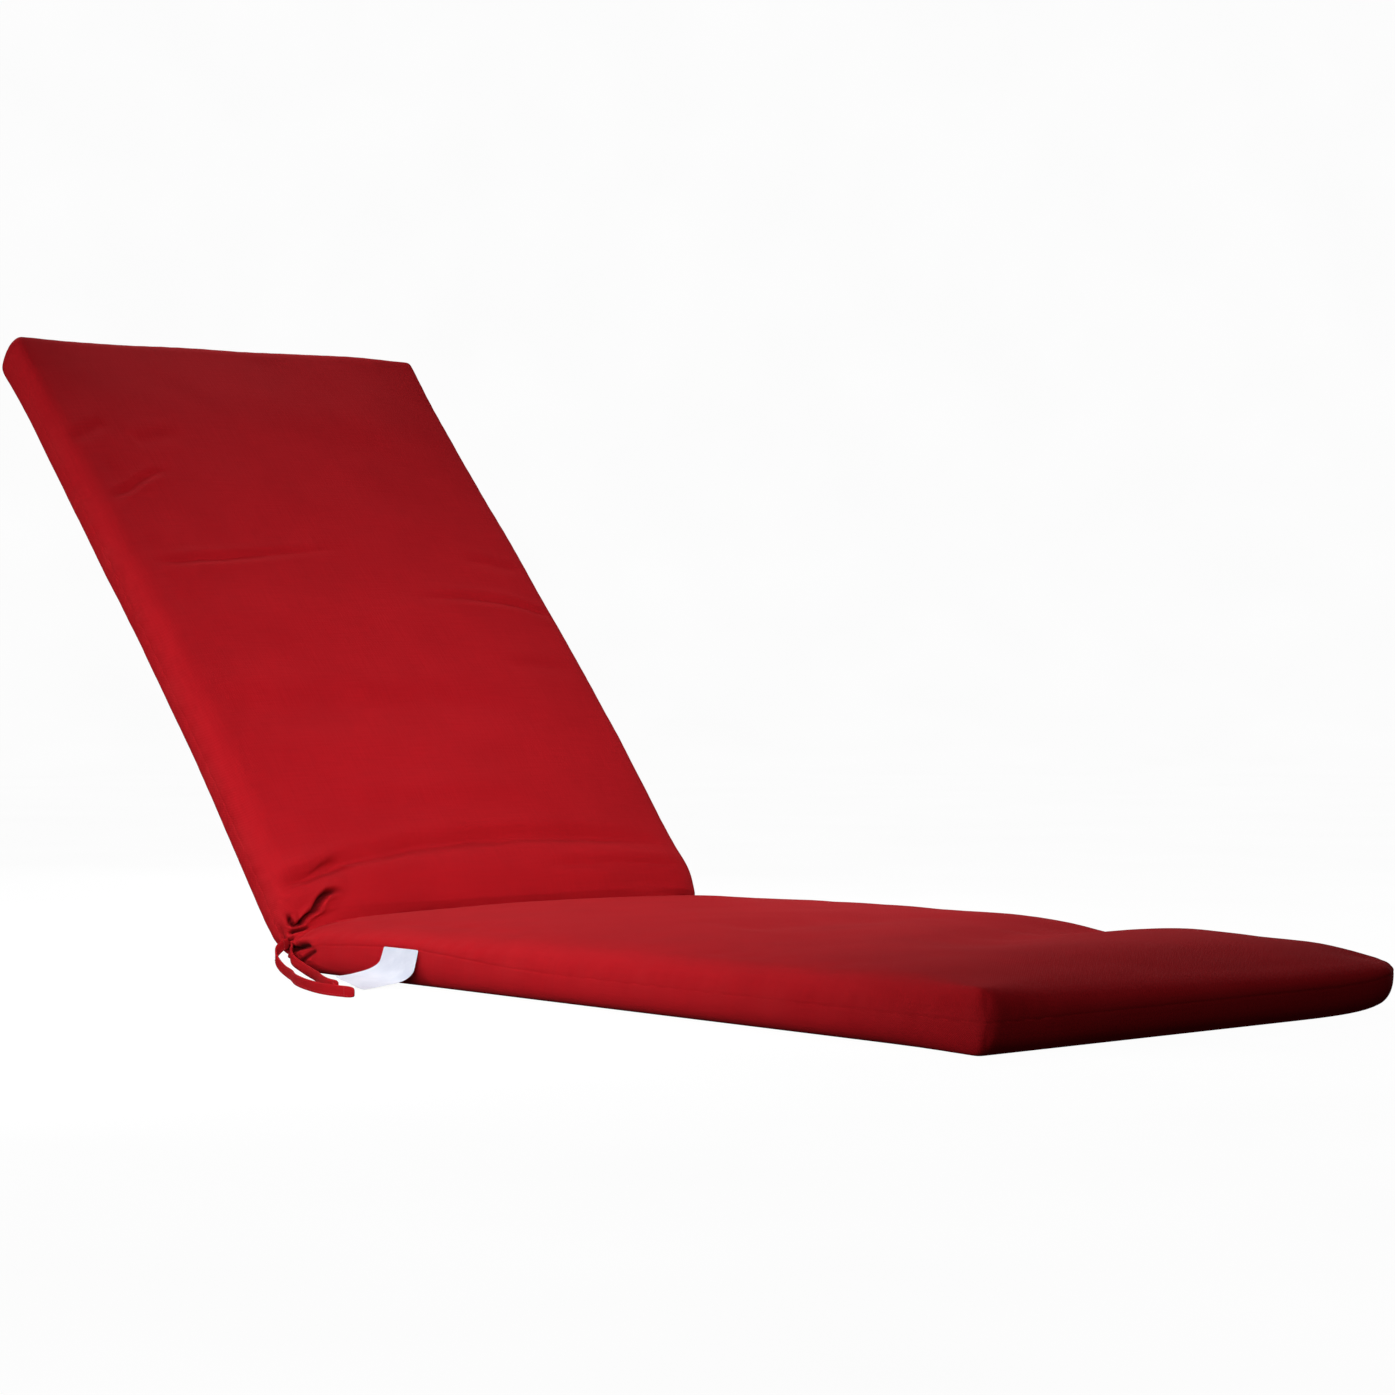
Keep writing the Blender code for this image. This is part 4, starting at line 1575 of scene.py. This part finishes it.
@dataclass(frozen=True)
class Studio:
    """The photograph's camera, soft lamps and a plain pale floor that curves up into a wall all round."""

    eye: Point = (2.2873, -2.1623, 0.3113)
    heading: float = 0.8527  # radians, from +Y towards -X
    tilt_down: float = 0.0101  # radians
    floor_radius: float = 8.0
    cove_radius: float = 1.5
    wall_height: float = 6.0
    floor_sides: int = 96
    cove_steps: int = 10
    surroundings: float = 0.024
    lamps: tuple[SoftLamp, ...] = (
        SoftLamp("near_low", (-1.30, -2.00, 0.60), 6.6, 120.0),
        SoftLamp("near_high", (-1.30, -2.00, 1.40), 0.7, 120.0),
        SoftLamp("near_middle", (-0.20, -1.20, 0.45), 0.6, 120.0),
        SoftLamp("camera_low", (0.30, -1.20, 0.45), 2.6, 120.0),
        SoftLamp("overhead", (0.40, 0.40, 1.60), 2.1, 70.0),
        SoftLamp("back_left", (-1.80, 0.30, 1.80), 2.3, 70.0),
        SoftLamp("front", (1.20, -0.60, 1.20), 1.1, 90.0),
        SoftLamp("camera_beam", (0.90, -1.40, 0.50), 0.8, 45.0),
        SoftLamp("rear", (-2.30, 0.70, 0.80), 5.0, 90.0, aim=(-0.90, 0.00, 0.30), side=0.8),
        SoftLamp("far_side", (-0.30, 2.40, 0.50), 1.6, 80.0, aim=(-0.30, 0.20, 0.03), side=0.8),
    )

    def place_camera(self) -> None:
        """Puts the camera where the photograph was taken from."""
        data = bpy.data.cameras.new("camera")
        data.sensor_fit = "HORIZONTAL"
        data.sensor_width = SENSOR_WIDTH
        data.lens = FOCAL_PIXELS * SENSOR_WIDTH / IMAGE_SIDE
        camera = bpy.data.objects.new("camera", data)
        camera.location = self.eye
        camera.rotation_euler = (math.pi / 2 - self.tilt_down, 0.0, self.heading)
        bpy.context.scene.collection.objects.link(camera)
        bpy.context.scene.camera = camera

    def light(self) -> None:
        """Hangs the lamps, and sets the faint light from all round."""
        for lamp in self.lamps:
            lamp.hang()
        world = bpy.data.worlds.new("surroundings")
        world.use_nodes = True
        bpy.context.scene.world = world
        world.node_tree.nodes.clear()
        sky = add_node(
            world.node_tree,
            "ShaderNodeBackground",
            values={"Color": linear("#FFFFFF"), "Strength": self.surroundings},
        )
        add_node(world.node_tree, "ShaderNodeOutputWorld", {"Surface": sky.outputs[0]})
        bpy.context.scene.view_settings.view_transform = "Standard"

    def lay_floor(self, finish: Material) -> None:
        """Makes the floor, which isn't part of the object.

        Args:
            finish: Its paint.
        """
        mesh = bmesh.new()
        radius = self.floor_radius - self.cove_radius
        flat = bmesh.ops.create_circle(mesh, cap_ends=True, segments=self.floor_sides, radius=radius)
        edges = list({edge for vert in flat["verts"] for edge in vert.link_edges})
        turns = self.cove_steps
        for step in range(1, turns + 2):
            grown = bmesh.ops.extrude_edge_only(mesh, edges=edges)["geom"]
            ring = [item for item in grown if isinstance(item, bmesh.types.BMVert)]
            edges = [item for item in grown if isinstance(item, bmesh.types.BMEdge)]
            turn = math.pi / 2 * min(1.0, step / turns)
            radius = self.floor_radius - self.cove_radius * (1 - math.sin(turn))
            height = self.cove_radius * (1 - math.cos(turn)) if step <= turns else self.wall_height
            for vert in ring:
                out = Vector((vert.co.x, vert.co.y)).normalized() * radius
                vert.co = Vector((out.x, out.y, height))
        floor = link_mesh("studio_floor", mesh, finish)
        floor.visible_diffuse = False
        floor.visible_glossy = False


OUTER_TIE = SewnTie(
    name="tie_outer_tape",
    packed_node="tie_outer",
    start_run=0.004,
    start_off=0.0011,
    points=(
        (-0.5000, 0.0050, 0.0262), (-0.4980, 0.0115, 0.0215), (-0.4920, 0.0160, 0.0152),
        (-0.4790, 0.0205, 0.0098), (-0.4550, 0.0300, 0.0064), (-0.4170, 0.0485, 0.0060),
        (-0.3750, 0.0720, 0.0060), (-0.3260, 0.0920, 0.0060), (-0.2780, 0.1040, 0.0060),
        (-0.2350, 0.1020, 0.0060),
    ),
    seed=2.0,
)
INNER_TIE = SewnTie(
    name="tie_inner_tape",
    packed_node="tie_inner",
    start_run=-0.016,
    start_off=0.0022,
    points=(
        (-0.4850, 0.0030, 0.0205), (-0.4730, 0.0085, 0.0145), (-0.4480, 0.0130, 0.0085),
        (-0.4200, 0.0225, 0.0060), (-0.3850, 0.0395, 0.0060), (-0.3510, 0.0580, 0.0060),
        (-0.3190, 0.0720, 0.0060), (-0.2960, 0.0780, 0.0060),
    ),
    seed=9.0,
)


def main() -> None:
    """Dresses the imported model."""
    logging.basicConfig(level=logging.INFO, format="%(name)s: %(message)s")
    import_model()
    studio = Studio()
    studio.place_camera()
    canvas = WovenCanvas(name="red_woven_canvas").make()
    tie_canvas = WovenCanvas(name="red_tie_canvas").make()
    thread = SewingThread().make()
    pieces = [piece for tie in (OUTER_TIE, INNER_TIE) for piece in tie.build(tie_canvas, thread)]
    pieces.append(PaddedCushion().build(canvas))
    pieces.append(CareLabel().build(SatinRibbon().make()))
    for piece in pieces:
        LOG.info("%s: %d faces", piece.name, len(piece.data.polygons))
    studio.light()
    studio.lay_floor(PaleFloor().make())


if __name__ == "__main__":
    main()
